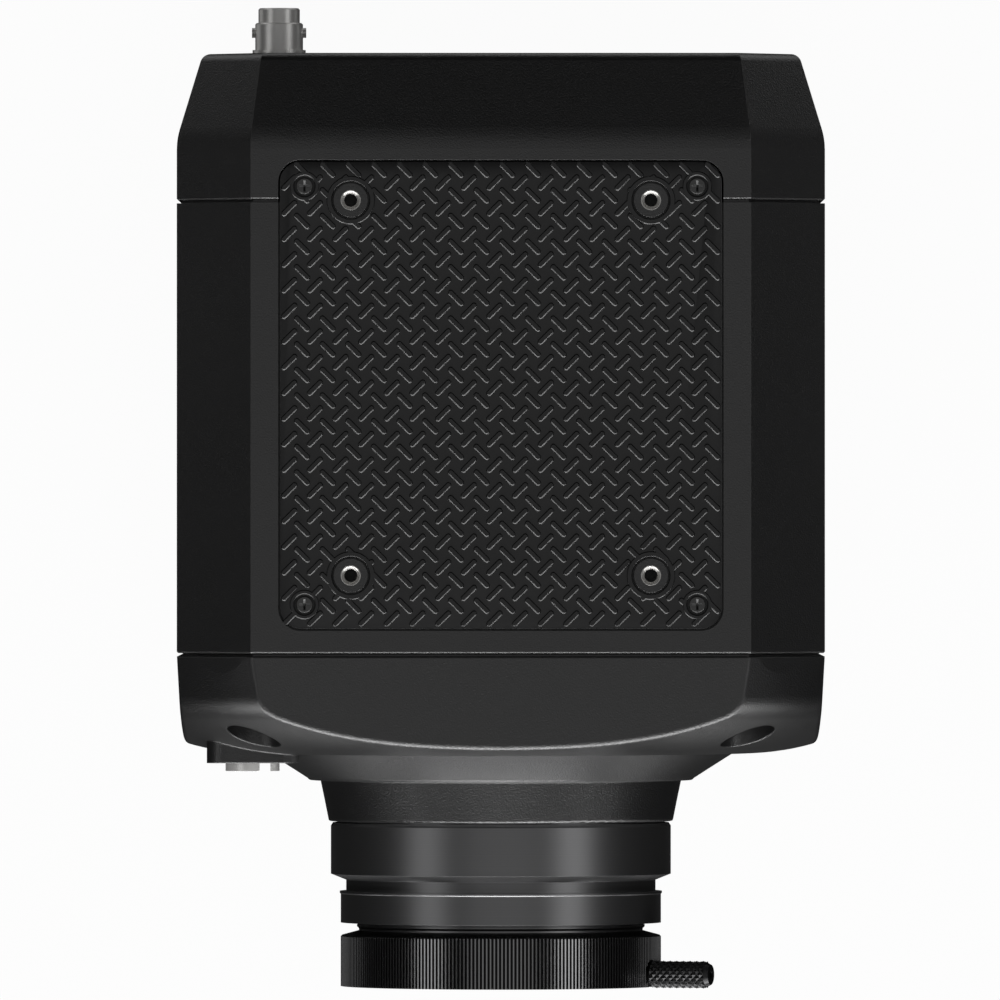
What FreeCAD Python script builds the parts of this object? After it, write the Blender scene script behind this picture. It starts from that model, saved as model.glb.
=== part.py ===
import FreeCAD, Part
import Sketcher
import math
import os

# Box camera with an octagonal body and a bayonet lens mount, in millimetres.
# +Z is up and -Y points out of the lens mount. The origin is the mouth of the tripod bush in the underside.
# Most pieces are drawn about the optical axis, so their own origin lies on it, above the tripod bush.

# Driving sizes: a word, a number and what it measures
SIZES = [
    ("body_width", 130.0, "across the side faces"),
    ("body_height", 124.0, "underside to top"),
    ("body_chamfer", 15.0, "leg of the four 45 degree chamfers"),
    ("wall_thickness", 3.5, "housing and covers"),
    ("housing_front", 30.6, "front end of the main housing, ahead of the tripod bush"),
    ("housing_length", 90.2, "main housing"),
    ("rear_cover_length", 30.0, "main housing to the rear plane"),
    ("front_cover_length", 34.4, "main housing to the end of the nose"),
    ("front_groove", 0.7, "width of the groove at the front joint"),
    ("joint_bevel", 0.3, "bevel on the rear edge of the front groove and of the rear one"),
    ("rear_groove", 0.6, "width of the groove at the rear joint"),
    ("groove_depth", 1.2, "both joint grooves"),
    ("pillar_inset_x", 15.5, "screw pillar centre in from the side face"),
    ("pillar_inset_z", 15.4, "screw pillar centre down from the top face"),
    ("pillar_radius", 8.6, "screw pillars in the corners"),
    ("rear_pillar_radius", 6.0, "screw pillars inside the rear taper"),
    ("cover_screw_radius", 2.0, "shank of the cover screws"),
    ("cover_screw_head", 3.5, "head radius of the cover screws"),
    ("cover_screw_head_height", 4.0, "head of the cover screws"),
    ("cover_screw_socket", 1.6, "key socket of the cover screws"),
    ("cover_screw_grip", 10.0, "thread length in the housing pillars"),
    ("screw_play", 0.05, "radial play of a thread modelled as a plain hole"),
    ("slide_play", 0.1, "radial play of a running fit"),
    ("small_edge", 0.3, "broken edges of screw heads, keys and connectors"),
    ("draft_angle", 3.0, "draft of the cast front cover, degrees"),
    ("dome_setback", 13.8, "flat ring of the domed face behind the end of the nose"),
    ("dome_flat_width", 2.8, "flat ring of the domed face outside the flare"),
    ("dome_share", 0.6026, "arc of the domed face, as a share of the corner distance"),
    ("shoulder_run", 4.3, "start of the roll-over inside the corners"),
    ("shoulder_radius", 6.5, "roll-over into the chamfers"),
    ("shoulder_end", 82.0, "turn of the roll-over away from the optical axis where it ends, degrees"),
    ("top_edge_radius", 1.15, "front edge of the top and bottom faces"),
    ("side_edge_radius", 1.4, "front edge of the side faces"),
    ("flare_width", 8.0, "foot of the conical flare outside its top"),
    ("nose_shelf", 2.6, "top of the conical flare outside the nose root"),
    ("flare_rise", 5.1, "height of the conical flare"),
    ("nose_flare", 1.6, "root of the nose outside its end"),
    ("nose_step", 0.5, "end of the nose outside the first ring"),
    ("flare_edge_radius", 0.8, "rounding at the top of the conical flare"),
    ("nose_edge_radius", 0.45, "rounding of the nose edge"),
    ("spigot_wall", 2.5, "spigot of the mount base in the bore of the nose"),
    ("nose_wall", 4.6, "end wall of the nose"),
    ("front_pocket_radius", 5.4, "deep pockets of the front cover screws"),
    ("front_pocket_floor", 6.4, "metal left under the front cover screw heads"),
    ("carrier_ledge_depth", 14.9, "seat of the sensor carrier, ahead of the main housing"),
    ("carrier_cavity_radius", 56.0, "front cavity behind the carrier seat"),
    ("carrier_seat_radius", 46.0, "inner edge of the carrier seat"),
    ("filter_cavity_step", 3.0, "room of the filter sector outside the nose cavity"),
    ("filter_cavity_depth", 22.4, "front end of the filter room, ahead of the main housing"),
    ("nose_side_wall", 2.0, "side wall of the nose"),
    ("taper_start", 12.9, "main housing to the start of the rear taper"),
    ("taper_inset", 5.2, "inward run of the rear taper"),
    ("taper_blend", 15.0, "rounding where the rear taper starts"),
    ("rear_edge_radius", 2.2, "rounding of the rear edge"),
    ("plate_margin", 5.8, "top plate in from the upper folds"),
    ("plate_overhang", 8.15, "top plate behind the main housing"),
    ("plate_front_margin", 4.88, "top plate behind the front of the main housing"),
    ("plate_corner", 4.2, "corner radius of the top plate"),
    ("plate_thickness", 1.6, "top plate, flush with the body"),
    ("plate_gap", 0.3, "gap round the top plate"),
    ("tongue_thickness", 1.9, "housing tongue under the rear end of the top plate"),
    ("insert_pitch_x", 60.0, "accessory bushes across"),
    ("insert_from_front", 10.72, "front bushes behind the plate's front edge"),
    ("insert_from_rear", 7.75, "rear bushes ahead of the plate's rear edge"),
    ("insert_boss_radius", 3.4, "round bosses that come up through the top plate"),
    ("insert_boss_depth", 10.0, "bosses from the top face down"),
    ("insert_radius", 2.0, "accessory bush outside"),
    ("insert_bore", 1.3, "accessory bush thread"),
    ("insert_length", 8.0, "accessory bush"),
    ("insert_chamfer", 0.55, "lead-in of the accessory bush"),
    ("plate_screw_inset_x", 4.95, "top plate screws in from its sides"),
    ("plate_screw_inset_y", 4.92, "top plate screws in from its ends"),
    ("plate_screw_head", 1.75, "head radius of the plate screws"),
    ("plate_screw_radius", 0.95, "shank of the plate screws"),
    ("plate_screw_length", 5.5, "shank of the plate screws"),
    ("plate_screw_sink", 0.9, "depth of the counterbores in the plate"),
    ("plate_screw_boss", 3.0, "radius of the bosses under the plate screws"),
    ("plate_screw_boss_depth", 7.0, "bosses under the plate screws"),
    ("tripod_boss_height", 12.0, "bosses on the floor, from the underside"),
    ("tripod_bush_length", 10.0, "both tripod bushes"),
    ("small_bush_radius", 5.0, "outside of the small tripod bush"),
    ("small_bush_bore", 2.6, "quarter inch thread"),
    ("large_bush_radius", 7.0, "outside of the large tripod bush"),
    ("large_bush_bore", 4.0, "three-eighths inch thread"),
    ("bush_pitch", 25.0, "between the two tripod bushes"),
    ("boss_rim", 3.5, "metal round the tripod bushes"),
    ("mount_bore", 21.0, "clear bore of the lens mount"),
    ("base_relief", 0.5, "bore of the mount base outside the clear bore"),
    ("base_step", 1.8, "first ring outside the second"),
    ("base_neck_step", 1.5, "step between the nose and the first ring, inside it"),
    ("base_neck_length", 0.3, "step between the nose and the first ring"),
    ("base_ring_length", 10.4, "first ring"),
    ("base_bevel", 0.65, "rear bevel of the first ring, along the axis"),
    ("base_slope_length", 1.25, "front slope of the first ring"),
    ("flange_neck_step", 1.3, "neck behind the second ring, inside its edge"),
    ("base_front_length", 2.25, "neck ahead of the slope"),
    ("base_spigot_length", 2.9, "spigot in the nose bore"),
    ("flange_step", 0.2, "second ring outside the locking ring"),
    ("flange_length", 6.4, "second ring"),
    ("flange_lip_length", 0.4, "raised lip at the rear of the second ring"),
    ("flange_lip_height", 0.2, "raised lip at the rear of the second ring"),
    ("hub_groove", 0.4, "groove between the second ring and the lip of the hub"),
    ("hub_lip_length", 0.4, "lip of the hub behind the locking ring"),
    ("hub_lip_height", 0.4, "lip of the hub behind the locking ring"),
    ("hub_step", 1.6, "hub that carries the locking ring, outside the lens seat"),
    ("hub_length", 5.4, "hub that carries the locking ring"),
    ("seat_width", 6.2, "lens seat outside the clear bore"),
    ("seat_rise", 2.5, "lens seat ahead of the hub"),
    ("key_width", 4.0, "slot for the lens pin"),
    ("key_depth", 3.0, "slot for the lens pin"),
    ("ring_gap", 1.6, "open gap between the second ring and the locking ring, at the hub"),
    ("ring_back_slope", 0.9, "run of the sloping back of the locking ring"),
    ("ring_wall", 1.9, "wall of the locking ring"),
    ("ring_length", 11.3, "locking ring"),
    ("ring_land", 3.4, "bearing land of the locking ring on the hub"),
    ("ring_clearance", 0.4, "room round the retaining ring"),
    ("lug_clearance", 0.5, "bayonet lugs outside the lens seat"),
    ("ring_lip_length", 2.9, "thickness of the three bayonet lugs"),
    ("ring_edge", 0.8, "front edge of the locking ring"),
    ("lug_gap_angle", 62.0, "gap between two bayonet lugs, degrees"),
    ("lug_gap_place", 60.0, "middle of the first gap, turned from the lever, degrees"),
    ("retainer_lip", 1.4, "retaining ring outside the hub"),
    ("retainer_thickness", 1.6, "retaining ring"),
    ("lever_tilt", 20.0, "lever above the horizontal, degrees"),
    ("lever_setback", 2.6, "lever axis behind the front of the locking ring"),
    ("lever_radius", 2.8, "lever handle"),
    ("lever_length", 12.7, "lever outside the locking ring"),
    ("lever_flat", 1.1, "depth of the flat under the lever"),
    ("lever_stud_radius", 1.5, "threaded stud of the lever"),
    ("lever_stud_length", 2.8, "threaded stud of the lever"),
    ("lever_foot_radius", 2.2, "lever foot on the flat"),
    ("lever_foot_length", 1.4, "conical foot of the lever"),
    ("lever_edge", 0.7, "bevel at the lever end"),
    ("lever_socket", 0.85, "key socket in the lever end"),
    ("lever_socket_depth", 1.5, "key socket in the lever end"),
    ("mount_screw_edge", 3.5, "screws of the mount base outside the bore of the nose"),
    ("mount_screw_radius", 1.5, "screws that hold the mount base"),
    ("mount_screw_head", 2.75, "screws that hold the mount base"),
    ("mount_screw_head_height", 3.0, "screws that hold the mount base"),
    ("flange_screw_edge", 3.2, "screws of the mount flange outside the clear bore"),
    ("flange_screw_radius", 1.2, "screws that hold the mount flange"),
    ("flange_screw_head", 2.2, "screws that hold the mount flange"),
    ("flange_screw_head_height", 1.6, "screws that hold the mount flange"),
    ("screw_bite", 3.5, "thread of the mount screws in the next piece"),
    ("connector_x", -50.1, "lens connector beside the optical axis"),
    ("connector_z", 23.4, "lens connector above the optical axis"),
    ("connector_boss", 18.3, "side of the square lens connector boss"),
    ("connector_boss_corner", 4.0, "corners of the lens connector boss"),
    ("connector_boss_setback", 12.1, "front of the boss behind the end of the nose"),
    ("connector_radius", 5.5, "metal shell of the lens connector"),
    ("connector_stand", 1.65, "metal shell ahead of the boss"),
    ("connector_length", 9.0, "metal shell of the lens connector"),
    ("connector_wall", 1.1, "metal shell of the lens connector"),
    ("connector_slot", 2.3, "keyway of the lens connector"),
    ("connector_slot_x", 2.5, "keyway beside the connector centre"),
    ("panel_margin", 8.2, "rear panel in from the side faces"),
    ("panel_height", 56.4, "rear panel"),
    ("panel_corner", 3.0, "rear panel corners"),
    ("panel_thickness", 2.0, "rear panel"),
    ("panel_recess", 3.0, "rear panel below the rear plane"),
    ("panel_gap", 0.2, "gap round the rear panel"),
    ("panel_ledge", 2.0, "ledge behind the rear panel"),
    ("panel_ledge_width", 4.5, "ledge behind the rear panel"),
    ("panel_screw_inset", 2.3, "rear panel screws in from its edges"),
    ("panel_screw_radius", 0.8, "rear panel screws"),
    ("panel_screw_head", 1.6, "rear panel screws"),
    ("panel_screw_head_height", 1.0, "rear panel screws"),
    ("jack_x", -45.0, "video jack beside the optical axis"),
    ("jack_thread", 4.7, "video jack thread through the panel"),
    ("jack_flange", 5.4, "video jack shoulder"),
    ("jack_flange_length", 4.8, "video jack shoulder"),
    ("jack_barrel", 4.85, "video jack barrel"),
    ("jack_barrel_length", 5.5, "video jack barrel"),
    ("jack_nose", 4.2, "video jack nose"),
    ("jack_nose_length", 3.0, "video jack nose"),
    ("jack_bore", 3.45, "video jack mouth"),
    ("jack_bore_depth", 9.0, "video jack mouth"),
    ("jack_lug_radius", 1.0, "bayonet lugs"),
    ("jack_lug_span", 11.0, "across the bayonet lugs"),
    ("jack_lug_back", 5.0, "bayonet lugs behind the tip"),
    ("jack_insulator", 2.3, "insulator"),
    ("jack_contact", 0.65, "centre contact"),
    ("jack_contact_back", 3.5, "tip of the centre contact behind the jack's mouth"),
    ("jack_nut_flats", 12.0, "hexagon nut across flats"),
    ("jack_nut_thickness", 2.2, "hexagon nut"),
    ("remote_x", -22.0, "remote socket beside the optical axis"),
    ("remote_radius", 7.9, "remote socket through the panel"),
    ("remote_flange", 9.5, "remote socket flange"),
    ("remote_flange_thickness", 1.6, "remote socket flange"),
    ("remote_insert", 6.5, "remote socket insert"),
    ("remote_insert_step", 1.2, "groove round the contact face of the remote socket"),
    ("remote_nut", 10.3, "remote socket nut"),
    ("inlet_x", 34.0, "power inlet beside the optical axis"),
    ("inlet_radius", 11.0, "power inlet through the panel"),
    ("inlet_flange_width", 26.0, "power inlet flange"),
    ("inlet_flange_height", 31.0, "power inlet flange"),
    ("inlet_flange_thickness", 2.0, "power inlet flange"),
    ("inlet_cavity", 9.2, "mouth of the power inlet"),
    ("inlet_floor", 2.0, "floor of the power inlet"),
    ("inlet_insert", 1.6, "pin carrier of the power inlet"),
    ("inlet_pin_radius", 1.15, "pins of the power inlet"),
    ("inlet_pin_circle", 5.0, "pins of the power inlet"),
    ("inlet_pin_back", 1.0, "pin tips below the flange face"),
    ("inlet_screw_x", 9.5, "power inlet screws beside its centre"),
    ("inlet_screw_z", 12.0, "power inlet screws above and below its centre"),
    ("inlet_screw_radius", 1.2, "power inlet screws"),
    ("inlet_screw_head", 2.2, "power inlet screws"),
    ("board_thickness", 1.6, "all circuit boards"),
    ("board_post", 5.0, "posts between rear panel and rear board"),
    ("rear_board_margin", 6.8, "rear board in from the ends of the rear panel"),
    ("rear_board_height", 41.0, "rear board"),
    ("post_radius", 2.5, "board posts"),
    ("post_inset", 3.0, "board posts in from the board edge"),
    ("keys_x", 4.0, "middle of the key group beside the optical axis"),
    ("keys_z", -10.0, "middle of the key group above the optical axis"),
    ("key_offset", 8.0, "keys from the middle of their group"),
    ("menu_key_radius", 2.6, "key cap"),
    ("menu_key_stand", 1.4, "key cap above the panel"),
    ("key_collar", 3.4, "collar behind the panel"),
    ("key_collar_thickness", 1.0, "collar behind the panel"),
    ("key_switch_side", 6.0, "switch under each key"),
    ("key_switch_height", 2.8, "switch under each key"),
    ("switch_z", 13.0, "power switch above the optical axis"),
    ("switch_width", 5.4, "slider of the power switch"),
    ("switch_height", 3.8, "slider of the power switch"),
    ("switch_travel", 5.0, "travel of the power switch"),
    ("switch_stand", 1.6, "slider above the panel"),
    ("switch_rim", 1.5, "slider flange behind the panel"),
    ("switch_body_height", 3.5, "power switch housing on the rear board"),
    ("carrier_side", 80.0, "sensor carrier"),
    ("carrier_corner", 4.0, "cut corners of the sensor carrier"),
    ("carrier_thickness", 3.0, "sensor carrier"),
    ("carrier_screw_at", 36.0, "carrier screws from the axis, across and up"),
    ("carrier_screw_radius", 1.25, "carrier screws"),
    ("carrier_screw_head", 2.4, "carrier screws"),
    ("sensor_width", 24.0, "image sensor package"),
    ("sensor_height", 20.0, "image sensor package"),
    ("sensor_play", 0.3, "window in the carrier round the sensor"),
    ("sensor_glass", 0.8, "cover glass of the sensor"),
    ("sensor_glass_inset", 2.0, "cover glass in from the package edge"),
    ("sensor_board_width", 60.0, "sensor board"),
    ("sensor_board_up", 27.0, "sensor board above the axis"),
    ("sensor_board_rise", 2.0, "lower edge of the sensor board above the filter actuator"),
    ("spreader_thickness", 7.0, "heat spreader behind the sensor board"),
    ("pivot_drop", 22.0, "filter pivot below the optical axis"),
    ("pivot_radius", 1.0, "shaft of the filter actuator"),
    ("actuator_radius", 7.0, "filter actuator"),
    ("actuator_length", 11.0, "filter actuator"),
    ("sector_thickness", 2.6, "filter sector"),
    ("sector_rise", 1.6, "filter sector ahead of the carrier"),
    ("sector_swing", 58.0, "from one filter to the other, degrees"),
    ("sector_rim", 2.0, "sector metal outside a filter"),
    ("sector_hub", 4.5, "hub of the filter sector"),
    ("filter_radius", 9.5, "filter glass that stands in front of the sensor"),
    ("filter_web", 2.33, "sector metal between the two filter glasses"),
    ("filter_thickness", 1.5, "filter glasses"),
    ("filter_lip", 1.3, "lip that holds a filter glass"),
    ("board_side_margin", 25.0, "processor and power boards in from the side faces"),
    ("board_rear_margin", 5.6, "boards ahead of the rear end of the main housing"),
    ("board_front_margin", 8.6, "boards behind the front end of the main housing"),
    ("lower_post", 11.0, "posts on the housing floor"),
    ("upper_post", 28.0, "posts between the two boards"),
    ("chip_side", 30.0, "processor chip"),
    ("chip_thickness", 3.0, "processor chip"),
    ("memory_side", 10.0, "memory chips"),
    ("memory_thickness", 1.2, "memory chips"),
    ("sink_side", 46.0, "heat sink on the processor"),
    ("sink_base", 4.0, "heat sink base"),
    ("sink_fin", 14.0, "heat sink fins"),
    ("sink_fin_thickness", 1.6, "heat sink fins"),
    ("power_part_radius", 6.0, "capacitors on the power board"),
    ("power_part_height", 16.0, "capacitors on the power board"),
    ("power_part_pitch", 15.6, "capacitors on the power board"),
]

doc = FreeCAD.newDocument("camera")
sheet = doc.addObject("Spreadsheet::Sheet", "Sizes")


class Length:
    """A cell of the sheet, or a formula of cells: its number now and the text that binds to it."""

    def __init__(self, number, text):
        self.number = number
        self.text = text

    def __add__(self, other):
        return Length(self.number + number_of(other), f"({self.text} + {text_of(other)})")

    def __radd__(self, other):
        return Length(number_of(other) + self.number, f"({text_of(other)} + {self.text})")

    def __sub__(self, other):
        return Length(self.number - number_of(other), f"({self.text} - {text_of(other)})")

    def __rsub__(self, other):
        return Length(number_of(other) - self.number, f"({text_of(other)} - {self.text})")

    def __mul__(self, other):
        return Length(self.number * number_of(other), f"({self.text} * {text_of(other)})")

    __rmul__ = __mul__

    def __truediv__(self, other):
        return Length(self.number / number_of(other), f"({self.text} / {text_of(other)})")

    def __neg__(self):
        return Length(-self.number, f"(-1 * {self.text})")


def number_of(value):
    return value.number if isinstance(value, Length) else value


def text_of(value):
    return value.text if isinstance(value, Length) else f"({value!r})"


def root(value):
    return Length(math.sqrt(value.number), f"sqrt({value.text})")


def sine(degrees):
    return Length(math.sin(math.radians(number_of(degrees))), f"sin({text_of(degrees)} * 1 deg)")


def cosine(degrees):
    return Length(math.cos(math.radians(number_of(degrees))), f"cos({text_of(degrees)} * 1 deg)")


class Cells:
    """Holds one Length for each cell of the sheet, under the cell's alias."""


S = Cells()
for row, (alias, size, meaning) in enumerate(SIZES, start=1):
    sheet.set(f"A{row}", alias)
    sheet.set(f"B{row}", str(size))
    sheet.set(f"C{row}", meaning)
    sheet.setAlias(f"B{row}", alias)
    setattr(S, alias, Length(size, f"Sizes.{alias}"))
doc.recompute()


def bind(item, path, value):
    item.setExpression(path, text_of(value))


# Stations along the optical axis and half sizes that several pieces share
half_width = S.body_width / 2
half_height = S.body_height / 2
axis_height = S.body_height / 2
housing_front_y = -S.housing_front
housing_rear_y = housing_front_y + S.housing_length
rear_plane_y = housing_rear_y + S.rear_cover_length
nose_y = housing_front_y - S.front_cover_length
carrier_y = housing_front_y - S.carrier_ledge_depth
pillar_x = half_width - S.pillar_inset_x
pillar_z = half_height - S.pillar_inset_z
plate_width = S.body_width - (S.body_chamfer + S.plate_margin) * 2
plate_front_y = housing_front_y + S.plate_front_margin
plate_rear_y = housing_rear_y + S.plate_overhang
plate_screw_x = plate_width / 2 - S.plate_screw_inset_x
plate_screw_rows = (plate_front_y + S.plate_screw_inset_y, plate_rear_y - S.plate_screw_inset_y)
insert_x = S.insert_pitch_x / 2
insert_rows = (plate_front_y + S.insert_from_front, plate_rear_y - S.insert_from_rear)
panel_width = S.body_width - S.panel_margin * 2
rear_board_width = panel_width - S.rear_board_margin * 2
panel_y = rear_plane_y - S.panel_recess
panel_back_y = panel_y - S.panel_thickness
rear_board_y = panel_back_y - S.board_post

# Radii of the lens mount and of the casting behind it, each built out from the clear bore
base_bore = S.mount_bore + S.base_relief
nose_bore = base_bore + S.spigot_wall
seat_radius = S.mount_bore + S.seat_width
hub_radius = seat_radius + S.hub_step
retainer_radius = hub_radius + S.retainer_lip
ring_relief = retainer_radius + S.ring_clearance
ring_radius = ring_relief + S.ring_wall
ring_lip_radius = seat_radius + S.lug_clearance
flange_radius = ring_radius + S.flange_step
base_front_radius = flange_radius - S.flange_neck_step
base_radius = flange_radius + S.base_step
base_neck_radius = base_radius - S.base_neck_step
nose_end_radius = base_radius + S.nose_step
nose_root_radius = nose_end_radius + S.nose_flare
nose_cavity_radius = nose_end_radius - S.nose_side_wall
filter_cavity_radius = nose_cavity_radius + S.filter_cavity_step
flare_tip_radius = nose_root_radius + S.nose_shelf
flare_radius = flare_tip_radius + S.flare_width
dome_flat_radius = flare_radius + S.dome_flat_width
mount_screw_circle = nose_bore + S.mount_screw_edge
flange_screw_circle = S.mount_bore + S.flange_screw_edge
lever_seat = ring_radius - S.lever_flat
lever_reach = ring_radius + S.lever_length

# The dome is sized by how far the upper folds of the octagon lie from the optical axis
fold_x = half_width - S.body_chamfer
corner_distance = root(fold_x * fold_x + half_height * half_height)
dome_radius = corner_distance * S.dome_share
shoulder_start = corner_distance - S.shoulder_run

# How far a cut runs on past the metal, and how close two stations count as one
overcut = 1
same_place = 0.01

nodes = []


# Drawing helpers
def new_body(label, x=0, y=0, z=axis_height, turn=None):
    """A body that becomes one node, with its own origin at x, y, z."""
    body = doc.addObject("PartDesign::Body", label)
    body.Label = label
    if turn:
        body.Placement = FreeCAD.Placement(FreeCAD.Vector(), turn)
    for path, value in zip("xyz", (x, y, z)):
        bind(body, f"Placement.Base.{path}", value)
    nodes.append(body)
    return body


def new_sketch(body, plane, offset=0):
    """A sketch on one of the body's own planes, moved along the plane's normal."""
    sketch = body.newObject("Sketcher::SketchObject", "sketch")
    support = [feature for feature in body.Origin.OriginFeatures if feature.Role == plane]
    sketch.AttachmentSupport = (support[0], [""])
    sketch.MapMode = "FlatFace"
    bind(sketch, "AttachmentOffset.Base.z", offset)
    return sketch


def constrain(sketch, kind, *places):
    """Adds a constraint whose last entry is its value, bound to the sheet."""
    value = places[-1]
    index = sketch.addConstraint(Sketcher.Constraint(kind, *places[:-1], number_of(value)))
    if isinstance(value, Length):
        sketch.setExpression(f"Constraints[{index}]", value.text)


def arc_between(start, end, radius):
    """The short arc from start to end: positive radius turns left, negative turns right."""
    chord = end - start
    height = math.sqrt(max(radius * radius - chord.Length * chord.Length / 4, 0))
    left = FreeCAD.Vector(-chord.y, chord.x, 0).normalize()
    centre = (start + end) / 2 + left * math.copysign(height, radius)
    ends = (start, end) if radius > 0 else (end, start)
    angles = [math.atan2(point.y - centre.y, point.x - centre.x) for point in ends]
    circle = Part.Circle(centre, FreeCAD.Vector(0, 0, 1), abs(radius))
    return Part.ArcOfCircle(circle, angles[0], angles[1])


def outline(sketch, *corners):
    """A closed outline. A corner is (x, y), or (x, y, radius) where an arc leads to the next corner."""
    points = [FreeCAD.Vector(number_of(corner[0]), number_of(corner[1]), 0) for corner in corners]
    edges = []
    for place, corner in enumerate(corners):
        start = points[place]
        end = points[(place + 1) % len(points)]
        if len(corner) == 3:
            turn = number_of(corner[2])
            edge = sketch.addGeometry(arc_between(start, end, turn), False)
            edges.append((edge, 1, 2) if turn > 0 else (edge, 2, 1))
        else:
            edge = sketch.addGeometry(Part.LineSegment(start, end), False)
            edges.append((edge, 1, 2))
    for place, (edge, start, end) in enumerate(edges):
        following = edges[(place + 1) % len(edges)]
        sketch.addConstraint(Sketcher.Constraint("Coincident", edge, end, following[0], following[1]))
    for (edge, start, end), corner in zip(edges, corners):
        constrain(sketch, "DistanceX", -1, 1, edge, start, corner[0])
        constrain(sketch, "DistanceY", -1, 1, edge, start, corner[1])
        if len(corner) == 3:
            size = corner[2] if number_of(corner[2]) > 0 else -corner[2]
            constrain(sketch, "Radius", edge, size)


def circle(sketch, x, y, radius):
    centre = FreeCAD.Vector(number_of(x), number_of(y), 0)
    edge = sketch.addGeometry(Part.Circle(centre, FreeCAD.Vector(0, 0, 1), number_of(radius)), False)
    constrain(sketch, "DistanceX", -1, 1, edge, 3, x)
    constrain(sketch, "DistanceY", -1, 1, edge, 3, y)
    constrain(sketch, "Radius", edge, radius)


def four_circles(sketch, x, y, radius):
    for side in (-1, 1):
        for end in (-1, 1):
            circle(sketch, x * side, y * end, radius)


def at_inserts(sketch, radius):
    for y in insert_rows:
        circle(sketch, insert_x, y, radius)
        circle(sketch, -insert_x, y, radius)


def at_plate_screws(sketch, radius):
    for y in plate_screw_rows:
        circle(sketch, plate_screw_x, y, radius)
        circle(sketch, -plate_screw_x, y, radius)


def octagon(inset=0):
    """The body's octagon, moved inwards by an inset."""
    width = half_width - inset
    height = half_height - inset
    leg = S.body_chamfer - inset * (2 - math.sqrt(2))
    right, top = width - leg, height - leg
    return [
        (right, -height), (width, -top), (width, top), (right, height),
        (-right, height), (-width, top), (-width, -top), (-right, -height),
    ]


def rounded_rectangle(left, right, low, high, corner):
    return [
        (left + corner, low), (right - corner, low, corner), (right, low + corner),
        (right, high - corner, corner), (right - corner, high), (left + corner, high, corner),
        (left, high - corner), (left, low + corner, corner),
    ]


def rectangle(left, right, low, high):
    return [(left, low), (right, low), (right, high), (left, high)]


def pad(body, sketch, length, backwards=False, both_ways=False, draft=None):
    feature = body.newObject("PartDesign::Pad", "pad")
    feature.Profile = sketch
    feature.Reversed = backwards
    feature.Midplane = both_ways
    bind(feature, "Length", length)
    if draft is not None:
        bind(feature, "TaperAngle", draft)
    body.Tip = feature
    return feature


def pocket(body, sketch, depth=None, backwards=False, draft=None):
    """Cuts against the sketch's normal, or along it when backwards. No depth cuts through everything."""
    feature = body.newObject("PartDesign::Pocket", "pocket")
    feature.Profile = sketch
    feature.Reversed = backwards
    if depth is None:
        feature.Type = "ThroughAll"
    else:
        bind(feature, "Length", depth)
    if draft is not None:
        bind(feature, "TaperAngle", draft)
    body.Tip = feature
    return feature


def revolve(body, kind, *corners, plane="YZ_Plane"):
    """A Revolution or Groove of an outline about the optical axis, or another first sketch axis."""
    sketch = new_sketch(body, plane)
    outline(sketch, *corners)
    feature = body.newObject(f"PartDesign::{kind}", kind.lower())
    feature.Profile = sketch
    feature.ReferenceAxis = (sketch, ["H_Axis"])
    feature.Angle = 360
    body.Tip = feature
    return feature


def dress_edges(body, kind, size, wanted):
    """A Fillet or Chamfer on the edges of the body so far whose middle point is wanted."""
    doc.recompute()
    base = body.Tip
    names = []
    for index, edge in enumerate(base.Shape.Edges, start=1):
        middle = edge.valueAt((edge.FirstParameter + edge.LastParameter) / 2)
        if wanted(edge, middle):
            names.append(f"Edge{index}")
    feature = body.newObject(f"PartDesign::{kind}", kind.lower())
    feature.Base = (base, names)
    bind(feature, "Radius" if kind == "Fillet" else "Size", size)
    body.Tip = feature
    return feature


def at_station(y):
    """Picks the edges that run across the optical axis at one station."""
    place = number_of(y)

    def wanted(edge, middle):
        ends = [vertex.Point.y for vertex in edge.Vertexes]
        return all(abs(value - place) < same_place for value in ends + [middle.y])

    return wanted


def turned(label, *corners, x=0, y=0, z=axis_height, turn=None, plane="YZ_Plane"):
    """A turned piece: its half section revolved once round."""
    body = new_body(label, x, y, z, turn)
    revolve(body, "Revolution", *corners, plane=plane)
    return body


def block(label, x, y, z):
    """A flat-sided piece between two limits on each axis. z counts from the optical axis."""
    box = doc.addObject("Part::Box", label)
    box.Label = label
    limits = (x, y, (z[0] + axis_height, z[1] + axis_height))
    for path, side, (low, high) in zip("xyz", ("Length", "Width", "Height"), limits):
        bind(box, f"Placement.Base.{path}", low)
        bind(box, side, high - low)
    nodes.append(box)
    return box


def joined(label, pieces):
    """One node that holds several separate solids."""
    group = doc.addObject("Part::Compound", label)
    group.Label = label
    group.Links = pieces
    for piece in pieces:
        if piece in nodes:
            nodes.remove(piece)
        if piece.Label == label:
            piece.Label = label + "_one"
    group.Label = label
    nodes.append(group)
    return group


def mirror(source, normal, at=(0, 0, 0)):
    feature = doc.addObject("Part::Mirroring", "mirror")
    feature.Source = source
    feature.Normal = FreeCAD.Vector(*normal)
    for path, value in zip("xyz", at):
        bind(feature, f"Base.{path}", value)
    return feature


def four_of(label, source, second, at):
    """A piece, its copy across X = 0 and the pair's copy across a second plane through a point."""
    pair = doc.addObject("Part::Compound", "pair")
    pair.Links = [source, mirror(source, (1, 0, 0))]
    if source in nodes:
        nodes.remove(source)
    source.Label = label + "_one"
    return joined(label, [pair, mirror(pair, second, at)])


UP = FreeCAD.Rotation(FreeCAD.Vector(1, 0, 0), 90)
axis_point = (0, 0, axis_height)


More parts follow.
